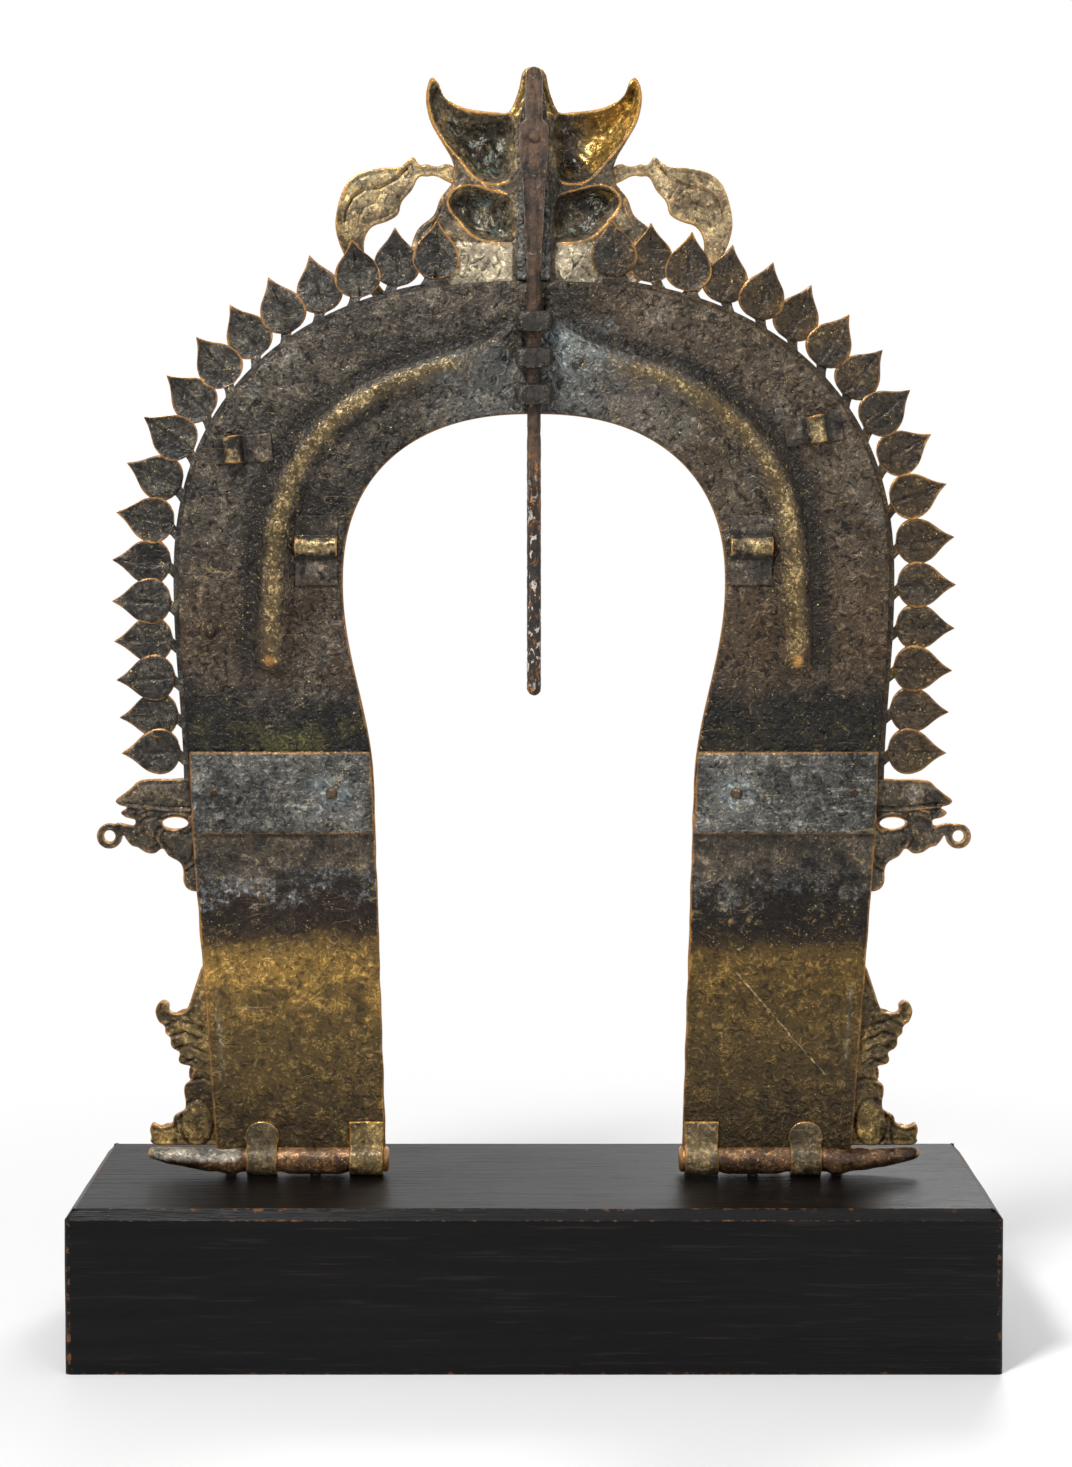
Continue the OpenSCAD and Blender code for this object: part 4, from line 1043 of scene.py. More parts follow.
# %% Outlines of the mask
mask_half = [
    (4.5, 99), (7.4, 89), (11.5, 79.5), (17, 79), (32, 81), (41.5, 86), (45, 93.5), (48.6, 95), (50.8, 86),
    (48.8, 75), (43.3, 65), (38.5, 56.5), (37.5, 48), (44, 39), (47.2, 31), (55, 24), (58, 12), (52, 2),
    (40, -6), (18, -9),
]
horn_hollow = [
    (8.7, 70), (10.5, 77.2), (17, 77.3), (32, 79.2), (41, 84.4), (45, 91.2), (47.6, 92.6), (49, 86), (47, 75.8),
    (41.6, 66), (35.4, 58.6), (30.5, 52.6), (26.5, 48.6), (22, 46.4), (15.5, 46.2), (11.6, 48.4), (10, 52),
    (8.7, 58),
]
cheek_hollow = [
    (10.6, 38), (14, 40.4), (19.5, 41.8), (29.5, 44.2), (36, 42.8), (39.6, 38.5), (38.8, 33.6), (35.2, 29.4),
    (31.6, 25), (26.4, 20.8), (17.4, 18.6), (9.4, 19.2), (8.8, 28),
]


def rounded(points, steps=4):
    """A closed smooth curve through the points."""
    p = np.array(points, float)
    a, b, c, d = (np.roll(p, k, axis=0)[:, None, :] for k in (1, 0, -1, -2))
    t = (np.arange(steps) / steps)[None, :, None]
    curve = 2 * b + t * (c - a) + t ** 2 * (2 * a - 5 * b + 4 * c - d) + t ** 3 * (3 * b - a - 3 * c + d)
    return (curve / 2).reshape(-1, 2)


def inside_distance(points, outline):
    """Distance in mm of each point from a closed outline, positive inside it."""
    p, a = points[:, None, :], outline[None]
    edge = np.roll(a, -1, axis=1) - a
    t = np.clip(((p - a) * edge).sum(2) / (edge ** 2).sum(2), 0, 1)
    far = np.linalg.norm(p - a - t[..., None] * edge, axis=2).min(1)
    above = a[..., 1] > p[..., 1]
    slope = edge[..., 0] / np.where(edge[..., 1] == 0, 1e-9, edge[..., 1])
    crossed_at = a[..., 0] + slope * (p[..., 1] - a[..., 1])
    crossing = (above != np.roll(above, -1, axis=1)) & (p[..., 0] < crossed_at)
    return np.where(crossing.sum(1) % 2 == 1, far, -far)


# %% The mask's sheet, cut and skinned
mask = bmesh.new()
mask_outline = rounded(mask_half + [(-x, r) for x, r in reversed(mask_half)])
mask.faces.new([mask.verts.new(spot(x, 3.85, CROWN_TOP + r)) for x, r in mask_outline])
thicken(mask, mask.faces[:], lambda x, y, h: y + 2.4)
skin(mask, 0.72, 2)
flat = np.array([(v.co.x * 1000, v.co.z * 1000 - BLOCK_TOP - CROWN_TOP) for v in mask.verts])
folded = np.column_stack([np.abs(flat[:, 0]), flat[:, 1]])
in_horn = inside_distance(folded, rounded(horn_hollow))
in_cheek = inside_distance(folded, rounded(cheek_hollow))
in_hollow = np.maximum(in_horn, in_cheek)
in_sheet = inside_distance(flat, mask_outline)
print("mask:", len(flat), "points,", int((in_hollow > 0).sum()), "of them in the hollows")

# %% [markdown]
# The smith worked the sheet further: beads along the hollows, beating marks inside them, a curl in the right
# eye, a furrow along the edge and a few engraved strokes on the cheek plates. Each is a number per point,
# and their sum is how deep the point lies.

# %% What the smith did to the sheet
lumps = np.array([noise.noise(Vector((x / 6.5, r / 6.5, 3.0))) for x, r in flat])
bead = np.exp(-(np.minimum(np.abs(in_horn + 0.8), np.abs(in_cheek + 0.8)) / 0.9) ** 2)
spine_side = np.clip((folded[:, 0] - 10) / 3, 0, 1)
CURL_X, CURL_H = 16.5, 53.5
curl_out = np.hypot(flat[:, 0] - CURL_X, flat[:, 1] - CURL_H)
curl_turn = np.arctan2(flat[:, 1] - CURL_H, flat[:, 0] - CURL_X) / (2 * np.pi)
curl = np.cos(2 * np.pi * (curl_out / 2.6 - curl_turn)) * np.clip(1.4 - curl_out / 5, 0, 1) * (flat[:, 0] > 0)
strokes = drawn(
    [(-34, 2), (-30, 8), (-25, 10), (-22, 6)], [(-18, 13), (-15, 7), (-17, 2)],
    [(15, 3), (20, 8), (24, 14)], [(20.5, 8.5), (25, 5), (27, 1.5)], [(29, 13), (33, 8)],
)
engraved = np.array([groove(from_lines(x, r, strokes), 0.6, 0.6) if r < 22 else 0.0 for x, r in flat])
furrow = np.exp(-((in_sheet - 3.0) / 0.7) ** 2) * (in_hollow < -1.5)
depth = 12.6 * (1 - np.exp(-np.maximum(in_horn, 0) / 6.0)) + 9.8 * (1 - np.exp(-np.maximum(in_cheek, 0) / 3.6))
depth += np.where(flat[:, 0] < 0, 3.2, 2.2) * lumps * np.clip(in_hollow / 4, 0, 1)
depth += 0.9 * curl - 0.8 * bead * spine_side + 0.7 * engraved
depth += 0.6 * furrow
print("the mask's hollows are up to", round(float(depth.max()), 1), "mm deep")

# %% The ears behind, and the locks of the beard on the front
ear = drawn([(37.6, 49), (41, 45.5), (42.8, 40.4), (42.4, 35), (45.4, 29), (49, 22), (49.4, 14)])
lower_locks = [ring(x, 1.5 - 0.004 * x * x, 3.6, 3.6) for x in range(-36, 37, 8)]
upper_locks = [ring(x, 9.5 - 0.002 * x * x, 2.6, 2.6) for x in range(-40, 41, 8)]
jaw = [(-44, 24), (-34, 17), (-18, 13.5), (0, 12.8), (18, 13.5), (34, 17), (44, 24)]
locks = drawn(*lower_locks, *upper_locks, jaw)
print("the beard has", len(lower_locks) + len(upper_locks), "locks")

# %% Beating the sheet, marking its wear and painting glints
rim, rub, deep, pale = (layer_of(mask, measure) for measure in ("rim", "rub", "deep", "pale"))
for i, v in enumerate(mask.verts):
    x, h = flat[i]
    seen_behind = v.normal.y < 0
    v.co.y += (depth[i] + hammer(x, h, 7, 0.3, 4.0)) / 1000
    ear_line = groove(from_lines(abs(x), h, ear), 0.7, 0.8) if seen_behind and 8 < h < 50 else 0.0
    v[rim] = max(math.exp(-max(in_sheet[i], 0) / 1.3), 0.95 * bead[i] * spine_side[i], ear_line)
    right_horn, top = 0.8 * ease((x - 16) / 12) * ease((h - 44) / 14), 0.7 * ease((h - 72) / 6)
    v[rub] = right_horn if in_horn[i] > 0 else top
    # painted glints on the lumps in the hollows, carried in the rub measure
    glint = 1.2 if in_horn[i] > 1 else 0.3 if x < 0 else 1.7
    v[rub] += 0.5 * max(curl[i], 0) + glint * max(-lumps[i] - 0.1, 0) * (in_hollow[i] > 1)
    if in_hollow[i] > 0:
        v[deep] = min(max(in_horn[i] / 8, in_cheek[i] / 5), 0.95) * (1 - v[rub])
    if in_hollow[i] < 0 and seen_behind:
        v[pale] = ease((20 - h) / 3) * ease((abs(x) - 9) / 2) * (1 - engraved[i])
    v[deep] += 0.5 * engraved[i] * seen_behind
    if v.normal.y > 0.3 and h < 26:
        off = from_lines(x, h, locks)
        v.co.y += (groove(off, 0.9, 0.9) - groove(off - 1.9, 0.7, 0.4)) / 1000
        v[rub] = max(v[rub], groove(off, 0.8, 0.75))
        v[deep] = max(v[deep], groove(off - 1.9, 0.7, 0.7))
mask.normal_update()
mask_finish = old_brass("mask_patina", "#413a30", "#6c604d", "#987838", cool="#7c7a70", cool_share=0.25,
                        worn=0.6, edge="#b98442", relief_mm=0.6, pale="#b5a78c", green=True, dirt_and_shade=0.55,
                        scored=0.15, rough=0.28)
set_in_place(mask, "crest_mask", mask_finish, "crest", ["crest"], "brass_gold", crisp=None)

# %% [markdown]
# The mask stands on a spine, a bar of brass that lies between the sheet and the iron. It is few corners,
# extruded, and rounded by the same skin that the castings get.

# %% The spine behind the mask
spine = bmesh.new()
spine_half = [(8, 0.2), (7.6, 30), (6.6, 60), (6.2, 76), (3.6, 93)]
spine_outline = spine_half + [(-x, r) for x, r in reversed(spine_half)]
spine.faces.new([spine.verts.new(spot(x, -3.75, CROWN_TOP + r)) for x, r in spine_outline])
thicken(spine, spine.faces[:], lambda x, y, h: 4.6)
skin(spine, 0.8, 3)
for v in spine.verts:
    x, y, h = measured(v.co)
    v.co.x += hammer(y, h, 9, 0.5, 1.0) / 1000
set_in_place(spine, "crest_spine", splice_finish, "crest", (), "brass_dark", crisp=None)

# %% [markdown]
# ## Iron: the rod, its collars and the crest's rivet
#
# The rod is one forging: a tongue, a shouldered bar that the crest is riveted to, and a long round rod that
# drops through three collars brazed to the crown. Iron rusts, so its finish is brown scale with orange
# bloom, and the skin is pitted a little. On the free end of the rod the scale flakes off in rust and chips.


# %% Rusted iron
def rusted_iron(name, scale_colour, rust_colour, bloom_colour, worn_colour, edges=0.4, flaky=0.0):
    """Rust over scale, sooty in the opening; edges bares its edges, and flaky peels its free end."""
    material, shader, place = new_finish(name)
    shader.inputs["Specular IOR Level"].default_value = 0.25
    slow, mottle, grain = cloud(place, 26), cloud(place, 5), cloud(place, 1.2, 6.0, 0.7)
    rim = carried(place, "rim")
    ground = patch(slow * 0.5 + mottle * 0.6, 0.4, 0.68)
    colour = tint(ground, paint(scale_colour), paint(rust_colour))
    bloom = patch(mottle * 0.6 + grain * 0.5, 0.6, 0.72)
    colour = tint(bloom * 0.6, colour, paint(bloom_colour))
    streak = patch(cloud(turned(place, 0, (1.0, 1.0, 0.22)), 2.6, 3.0, 0.65), 0.52, 0.36)
    colour = shade(streak, colour, 0.4)
    h = height_mm(place, 40.0, slow)
    colour = shade(patch(height_mm(place, 0.0, slow), 466.0, 440.0), colour, 0.7)
    soot = patch(h, 330.0, 304.0) * patch(h, 230.0, 246.0)
    colour = tint(soot * 0.7, colour, paint("#2d2a28"))
    free = patch(h, 352.0, 338.0) * flaky
    flakes = patch(cloud(turned(place, 0, (1.0, 1.0, 0.5)), 3.2, 2.0, swirl=0.6), 0.57, 0.62)
    colour = tint(flakes * free * (0.85 - 0.55 * soot), colour, paint("#b0702f"))
    chips = patch(cloud(turned(place, 20, (1.0, 1.0, 0.45)), 2.2, 2.0, swirl=0.8), 0.59, 0.64)
    colour = tint(chips * free * (0.3 + 0.6 * soot), colour, paint("#c4bcb1"))
    bare = larger(patch(edges * rim + grain, 0.85, 1.05), patch(cloud(place, 2.4, 2.0), 0.69, 0.74))
    colour = tint(bare * 0.65, colour, paint(worn_colour))
    height = 0.9 * cloud(place, 3.4, 2.0, 0.45) + 0.5 * grain
    pour(shader, place, colour, 0.5 + 0.2 * bloom - 0.18 * bare, 0.2 + 0.3 * bare, height)
    return material


rod_finish = rusted_iron("rod_rust", "#332b26", "#66503f", "#8a5b3b", "#94806e", edges=0.5, flaky=1.0)
collar_finish = rusted_iron("collar_rust", "#2a2624", "#48413a", "#5e4c3e", "#98907f", edges=0.38)
print("iron finishes:", rod_finish.name, collar_finish.name)

# %% The rod
rod = wax_copy("iron_rod")
skin(rod, 0.55, 3)
for v in rod.verts:
    x, y, h = measured(v.co)
    rough = 0.22 * noise.noise(Vector((x / 3, y / 3, h / 5))) + 0.12 * noise.noise(Vector((x, y, h / 1.5)))
    inside_collars = ease((h - 355) / 6) * ease((432 - h) / 4)
    scale = max(min(rough, 0.05), -0.15) * (1 - inside_collars)
    v.co += v.normal * (scale - 0.02 + 0.12 * ease((352 - h) / 8)) / 1000
    v.co.z += 4.5 * ease((h - 500) / 18) / 1000
set_in_place(rod, "iron_rod_forged", rod_finish, "crest", ["iron_rod"], "iron_rust", crisp=0.3)
pin = bmesh.new()
spin_up(pin, rivet_profile(14.5), spot(0, -8.28, 489.5), (0, 1, 0))
set_in_place(pin, "crest_rivet_turned", rod_finish, "crest", ["crest_rivet"], "iron_rust")

# %% The collars
ROD_Y = -6.03  # the rod's middle, behind the plate


def forge_collar(h, droop):
    """A thick band spun round the rod, then flattened against the plate and at the front."""
    bm = bmesh.new()
    half = [(1.2, 8.75), (3.2, 8.4), (4.4, 7.2), (4.5, 4.2), (4.3, 3.64)]
    section = [(-a, r) for a, r in reversed(half)] + half + [(0.0, 3.62)]
    spin_up(bm, section + section[:1], spot(0, ROD_Y, h), (0, 0, 1), steps=44)
    for v in bm.verts:
        x, y, z = measured(v.co)
        out = math.hypot(x, y - ROD_Y)
        if out > 4:
            wide = 1 + 0.1 * ease((out - 4) / 4) * abs(math.sin(2 * math.atan2(y - ROD_Y, x)))
            x, y = x * wide, ROD_Y + (y - ROD_Y) * wide
            y = max(y, -13.3 + 0.25 * noise.noise(Vector((x / 3, h, z / 3))))
            z -= droop * ease((-y - 5) / 8) + 0.35 * noise.noise(Vector((x / 4, y / 4, h)))
        v.co = spot(x, min(y, BACK + 0.05), z)
    bmesh.ops.recalc_face_normals(bm, faces=bm.faces)
    return bm


for i, (word, droop) in enumerate((("top", 0.8), ("middle", 1.2), ("bottom", 1.5))):
    collar = forge_collar(CROWN_TOP - 19 - 16.6 * i, droop)
    set_in_place(collar, f"collar_{word}_forged", collar_finish, "arch", [f"collar_{word}"], "iron_rust",
                 crisp=0.3)

# %% [markdown]
# ## Strap loops
#
# Four strips of brass are bent up into a hump that a cord can pass under. A strip is a path seen from its
# end, so a grid is laid along that path and across the strip's width, and thickened along its normals. The
# humps are polished by whatever hung from them, so they carry the rub measure.


# %% Bent strips
def path_walk(points):
    """Gives a function from a share of the length to a point of a path."""
    p = np.array(points, float)
    run = np.concatenate([[0], np.cumsum(np.linalg.norm(np.diff(p, axis=0), axis=1))])
    return lambda q: tuple(float(np.interp(q * run[-1], run, p[:, k])) for k in (0, 1))


def thicken_out(bm, faces, thickness):
    """Gives a bent sheet its thickness along its normals, in mm, half to each side."""
    bmesh.ops.recalc_face_normals(bm, faces=faces)
    bm.normal_update()
    normals = {tuple(v.co): v.normal.copy() for f in faces for v in f.verts}
    made = bmesh.ops.extrude_face_region(bm, geom=faces)["geom"]
    for v in (g for g in made if isinstance(g, bmesh.types.BMVert)):
        v.co += normals[tuple(v.co)] * thickness / 2000
    for v in {v for f in faces for v in f.verts}:
        v.co -= normals[tuple(v.co)] * thickness / 2000
    bmesh.ops.recalc_face_normals(bm, faces=bm.faces)


def loop_path(length, off):
    """A strap loop's middle line, seen along its hole: strip, hump, strip."""
    bend = [(-6.2, 0.65), (-4.6, 0.9), (-3.95, 1.6)]
    half_turn = [i * math.pi / 14 for i in range(15)]
    hump = [(-3.85 * math.cos(a), 2.2 + 3.85 * math.sin(a)) for a in half_turn]
    far_bend = [(-x, y) for x, y in reversed(bend)]
    return [(-length / 2 - off, 0.65)] + bend + hump + far_bend + [(length / 2 - off, 0.65)]


def bend_loop(length, width, off, lay):
    """A loop from a grid along its path; lay puts (along, out, across) in its place on the plate."""
    bm = bmesh.new()
    deep, rim = (layer_of(bm, measure) for measure in ("deep", "rim"))
    walk = path_walk(loop_path(length, off))
    for v in unit_grid(bm, 14, 64):
        along, out = walk(v.co.y)
        across = (v.co.x - 0.5) * width
        to_edge = abs(2 * v.co.x - 1)
        hump = ease((out - 1.5) / 2)
        flare = 1 + 0.1 * to_edge ** 2 * hump
        ragged = 0.4 * noise.noise(Vector((along / 4, across / 4, length))) * (1 if to_edge > 0.9 else 0.2)
        # a painted shadow on the strip beside the hump's foot, carried in the deep measure
        v[deep] = 0.9 * math.exp(-((abs(along) - 5.6) / 1.8) ** 2)
        v[rim] = (0.35 + 0.75 * hump) * math.exp(-(1 - to_edge) * width / 1.6)
        v.co = lay(along * flare, out * flare + 0.3 * hammer(along, across, 6, 0.5), across + ragged)
    thicken_out(bm, bm.faces[:], 1.3)
    soften(bm, 0.35)
    mark(bm, "rub", lambda x, y, h: 0.68 * ease((BACK - 2.6 - y) / 4))
    return bm


# %% Four loops on the crown
def outer_lay(side, degrees, tilt, off):
    """Lays a loop near the outer edge, its hump upright and a little tilted."""
    middle_x, middle_h = arch_point(math.radians(degrees), 0.77)
    turn = math.radians(-tilt)

    def lay(along, out, across):
        flat_x = along + side * off
        x = side * middle_x + flat_x * math.cos(turn) + across * math.sin(turn)
        return spot(x, BACK - out, middle_h - flat_x * math.sin(turn) + across * math.cos(turn))

    return lay


def inner_lay(side, up=18):
    """Lays a loop beside the opening, up mm above the spring line, its hump level."""
    middle_x = OPENING[0] * (1 - (up / OPENING[1]) ** ROUNDNESS) ** (1 / ROUNDNESS) + 13.5
    return lambda along, out, across: spot(side * middle_x + across, BACK - out, SPRING + up + along)


loop_finish = old_brass("loop_brass", "#28241f", "#4b433a", "#7d6b49", cool="#55595a", worn=0.25,
                        relief_mm=0.5, broken=2.6)
for side, word, degrees, tilt, off in ((-1, "left", 25, 5, 4.7), (1, "right", 29, 8, 1.4)):
    loop = bend_loop(27, 13, side * off, outer_lay(side, degrees, tilt, off))
    set_in_place(loop, f"strap_loop_outer_{word}_bent", loop_finish, "arch",
                 [f"strap_loop_outer_{word}"], "brass_worn", crisp=None)
    loop = bend_loop(33, 20, 2, inner_lay(side))
    set_in_place(loop, f"strap_loop_inner_{word}_bent", loop_finish, "arch",
                 [f"strap_loop_inner_{word}"], "brass_worn", crisp=None)

# %% [markdown]
# ## Feet
#
# Under each leg lies a round bar, tapered at its outer end, and two straps bent round it hold it to the
# leg: a square clip at the opening and a round-topped one at the middle. The bar is spun and then beaten;
# the straps are grids along a path that drops down the leg's back and passes under the bar.

# %% Foot bars
BAR_START, BAR_R, BAR_H, TAPER = 69, 6.0, 7.5, 28
FLAT_FROM = 136  # the outer end is beaten flatter from here
foot_finish = old_brass("foot_copper", "#38291f", "#5d432c", "#9a7552", cool_share=0.1, relief_mm=0.5,
                        pale="#8f877a", pit_dirt_and_shade=0.5)


def beat_bar(bm, reach):
    """Beats a spun bar: uneven all over, flatter and lifted at its outer end, lower where no strap holds it."""
    for v in bm.verts:
        x, y, h = measured(v.co)
        out = abs(x)
        lift = 3.0 * min(max((out - reach) / TAPER, 0), 1) ** 1.4
        flat_end = ease((out - FLAT_FROM) / 8)
        beat = 0.22 * noise.noise(Vector((x / 6, y / 4, h / 4)))
        beat += 0.1 * noise.noise(Vector((x / 2, y / 2, h / 2)))
        beat += 0.9 * flat_end * noise.noise(Vector((x / 7, y / 5, h / 5)))
        free = ease((out - 88) / 4) * ease((120 - out) / 4) + ease((out - 138) / 4) * ease((152 - out) / 8)
        sunk = (1.1 + 0.8 * flat_end) * free * ease((BAR_H - h) / 5)
        low = BAR_H + (h - BAR_H) * (1 + beat / 6) * (1 - 0.12 * flat_end) - sunk
        v.co = spot(x, y * (1 + beat / 6) * (1 + 0.15 * flat_end), low + lift)


def bar_pale(x, y, h):
    """The beaten ends are pale on top, the left one most."""
    return (0.95 if x < 0 else 0.3) * ease((abs(x) - FLAT_FROM) / 6) * ease((h - 5) / 5)


def bar_rub(x, y, h):
    """The bars are rubbed, more on top and hardly on the beaten ends."""
    return (0.3 + 0.3 * ease((h - 7) / 5)) * (1 - 0.9 * ease((abs(x) - FLAT_FROM) / 8))


for side, word in SIDES:
    bar = bmesh.new()
    reach = outer_half(13.5) + 3
    straight = reach - BAR_START
    profile = [(0, 0), (0, 4.9), (0.9, BAR_R)] + [(i, BAR_R) for i in np.linspace(3, straight, 46)]
    profile += [(straight + TAPER * q, BAR_R - 3.0 * q ** 1.4) for q in np.linspace(0.08, 1, 16)]
    profile += [(straight + TAPER + 1, 1.8), (straight + TAPER + 1.4, 0)]
    spin_up(bar, profile, spot(side * BAR_START, 0, BAR_H), (side, 0, 0), steps=30)
    beat_bar(bar, reach)
    mark(bar, "pale", bar_pale)
    mark(bar, "rub", bar_rub)
    set_in_place(bar, f"foot_bar_{word}_beaten", foot_finish, "arch", [f"foot_bar_{word}"], "brass_gold")

# %% Foot straps
STRAP_Y, WRAP_R = BACK - 0.8, BAR_R + 0.85  # the strap's middle, on the leg's back and round the bar
strap_finish = old_brass("strap_brass", "#3f3629", "#65573f", "#947b4c", cool_share=0.15, worn=0.45,
                         edge="#b98a48", relief_mm=0.5, pit_dirt_and_shade=0.6)


def bend_strap(side, x, width, top, round_top):
    """A strap from its top, down the leg's back, round and under the foot bar."""
    turns = np.radians(np.linspace(22, 215, 26))
    under = [(-WRAP_R * math.sin(a), BAR_H + WRAP_R * math.cos(a)) for a in turns]
    walk = path_walk([(STRAP_Y, top), (STRAP_Y, 15.6), (-2.3, 14.4)] + under)
    bm = bmesh.new()
    for v in unit_grid(bm, 16, 60):
        u = 2 * v.co.x - 1
        y, h = walk(v.co.y)
        if round_top and h > top - width / 2:
            arc = math.sqrt(max(1 - u * u, 0.0))
            h = top - width / 2 + (h - top + width / 2) * max(arc, 0.04)
        lip = 0.55 * math.exp(-((1 - abs(u)) / 0.14) ** 2) * ease((h - 14) / 3)
        y += hammer(u * width, h, 5, 0.3, x) - lip
        ragged = 0.3 * noise.noise(Vector((h / 5, u, x)))
        waist = 1 - 0.16 * ease((19 - h) / 5) if round_top else 1.0
        v.co = spot(side * (x + u * width / 2 * waist + ragged), y, max(h, 0.78))
    thicken_out(bm, bm.faces[:], 1.5)
    soften(bm, 0.4)
    return bm


for side, word in SIDES:
    clip = bend_strap(side, 79.5, 16, 26, False)
    mark(clip, "rub", lambda x, y, h: 0.6 if x < 0 else 0.35)
    set_in_place(clip, f"foot_clip_inner_{word}", strap_finish, "arch", [f"foot_strap_inner_{word}"],
                 "brass_gold")
    clip = bend_strap(side, 129, 17, 26, True)
    set_in_place(clip, f"foot_clip_middle_{word}", strap_finish, "arch", [f"foot_strap_middle_{word}"],
                 "brass_gold")

# %% [markdown]
# Four steel dowels hold the arch on its block; they only show when it is lifted off. They are spun, with a
# chamfer at each end.

# %% Dowels
DOWELS = (-144, -104, 104, 144)
steel_finish = rusted_iron("dowel_steel", "#1f1d1b", "#2d2a28", "#3a2f26", "#5b5956")
dowels = bmesh.new()
dowel_profile = [(0, 0), (0, 1.7), (0.8, 2.5), (22, 2.48), (44.2, 2.5), (44.5, 2.2), (44.5, 0)]
for x in DOWELS:
    spin_up(dowels, dowel_profile, spot(x, 0, -35), (0, 0, 1))
set_in_place(dowels, "foot_dowels_turned", steel_finish, "arch", ["foot_dowels"], "steel")

# %% [markdown]
# ## The front
#
# The photograph shows only the back. The front is dressed in the plain traditional way, for those who walk
# round the part: a rounded lip and a row of beads along the opening, a creeper on the outer band, a framed
# panel with flowers on each leg, and the lion's face. The beads are many, so each has only a few faces; the
# leaves of creeper and flowers are one small domed grid, laid again and again.

# %% The lip along the opening
LIP_IN, LIP_WIDE = 0.4, 5.6


def lip_at(along, off):
    """A point off mm outside the opening, along the crown; the band is about 72 mm wide."""
    return band_point(along, off / 72, low=193.0)


def dome(bm, across, steps, place_of, rise_mm, base=FRONT):
    """A raised strip: a grid placed by place_of(share across, share along), round on top."""
    before = set(bm.faces)
    for v in unit_grid(bm, across, steps):
        u, q = v.co.x, v.co.y
        x, h = place_of(u, q)
        v.co = spot(x, base + 0.15 + rise_mm * math.sin(math.pi * u) ** 0.7, h)
    thicken(bm, new_faces(bm, before), lambda x, y, h: base - 0.1)


def leg_lip(side, u, q):
    """A point of the lip on a leg, at shares u across it and q up the leg."""
    h = 12 + 180 * q
    return side * (inner_half(h) + LIP_IN + LIP_WIDE * u), h


front_finish = old_brass("front_brass", "#2b251d", "#514632", "#937a45", cool_share=0.2, relief_mm=0.7,
                         broken=0.7)
lip = bmesh.new()
dome(lip, 8, 260, lambda u, q: lip_at(2 * q - 1, LIP_IN + LIP_WIDE * u), 1.5)
for side, _ in SIDES:
    dome(lip, 8, 60, lambda u, q: leg_lip(side, u, q), 1.5)
mark(lip, "rub", lambda x, y, h: 0.65 * ease((y - FRONT - 0.8) / 0.9))
set_in_place(lip, "opening_lip", front_finish, "arch", crisp=None)

# %% The beads beside the lip
BEADS_OFF = 9.4


def add_bead(bm, x, h):
    """One bead, of few faces because there are many."""
    at = Matrix.Translation(spot(x, FRONT + 0.5, h))
    bmesh.ops.create_uvsphere(bm, u_segments=8, v_segments=5, radius=0.0019, matrix=at)


beads = bmesh.new()
for q in np.linspace(-1, 1, 92):
    add_bead(beads, *lip_at(q, BEADS_OFF))
for h in np.linspace(20, 188, 33):
    for side, _ in SIDES:
        add_bead(beads, side * (inner_half(h) + BEADS_OFF), h)
mark(beads, "rub", lambda x, y, h: 0.85 * ease((y - FRONT - 0.4) / 1.6))
set_in_place(beads, "bead_row", front_finish, "arch", crisp=None)


# %% The creeper on the crown
def lay_leaf(bm, x, h, turn, length, width, rise_mm, base=FRONT):
    """A small domed leaf from (x, h), pointing the way of turn."""
    way_x, way_h = math.cos(turn), math.sin(turn)
    before = set(bm.faces)
    for v in unit_grid(bm, 6, 8):
        u, q = 2 * v.co.x - 1, v.co.y
        w = u * width / 2 * max(math.sin(math.pi * q ** 0.7), 0.02)
        vein = 0.35 * rise_mm * math.exp(-(u / 0.2) ** 2)
        rise = rise_mm * (1 - u * u) * math.sin(math.pi * min(q + 0.05, 1)) - vein
        at_x, at_h = x + way_x * length * q + way_h * w, h + way_h * length * q - way_x * w
        v.co = spot(at_x, base + 0.1 + max(rise, 0), at_h)
    thicken(bm, new_faces(bm, before), lambda x, y, h: base - 0.15)


WAVES = 34  # radians of the stem's wave along each half


def creeper_at(along, off=0.0):
    """A point of the creeper's waving stem; off is a share of the band."""
    return band_point(along, 0.75 + 0.075 * math.sin(WAVES * along) + off, low=205.0)


creeper = bmesh.new()
dome(creeper, 5, 420, lambda u, q: creeper_at(1.94 * q - 0.97, 0.034 * (u - 0.5)), 1.3)
for i in range(-10, 11):
    along = (i + 0.5) * math.pi / WAVES
    if abs(along) < 0.95:
        x, h = creeper_at(along)
        ahead = creeper_at(along + 0.01)
        turn = math.atan2(ahead[1] - h, ahead[0] - x)
        sway = 1 if i % 2 else -1
        lay_leaf(creeper, x, h, turn + 0.75 * sway, 15, 9, 1.7)
        lay_leaf(creeper, x, h, turn + math.pi - 0.75 * sway, 12, 7, 1.5)
mark(creeper, "rub", lambda x, y, h: 0.85 * ease((y - FRONT - 0.4) / 1.2))
mark(creeper, "deep", lambda x, y, h: 0.6 * ease((FRONT + 0.5 - y) / 0.4))
set_in_place(creeper, "crown_creeper", front_finish, "arch", crisp=None)

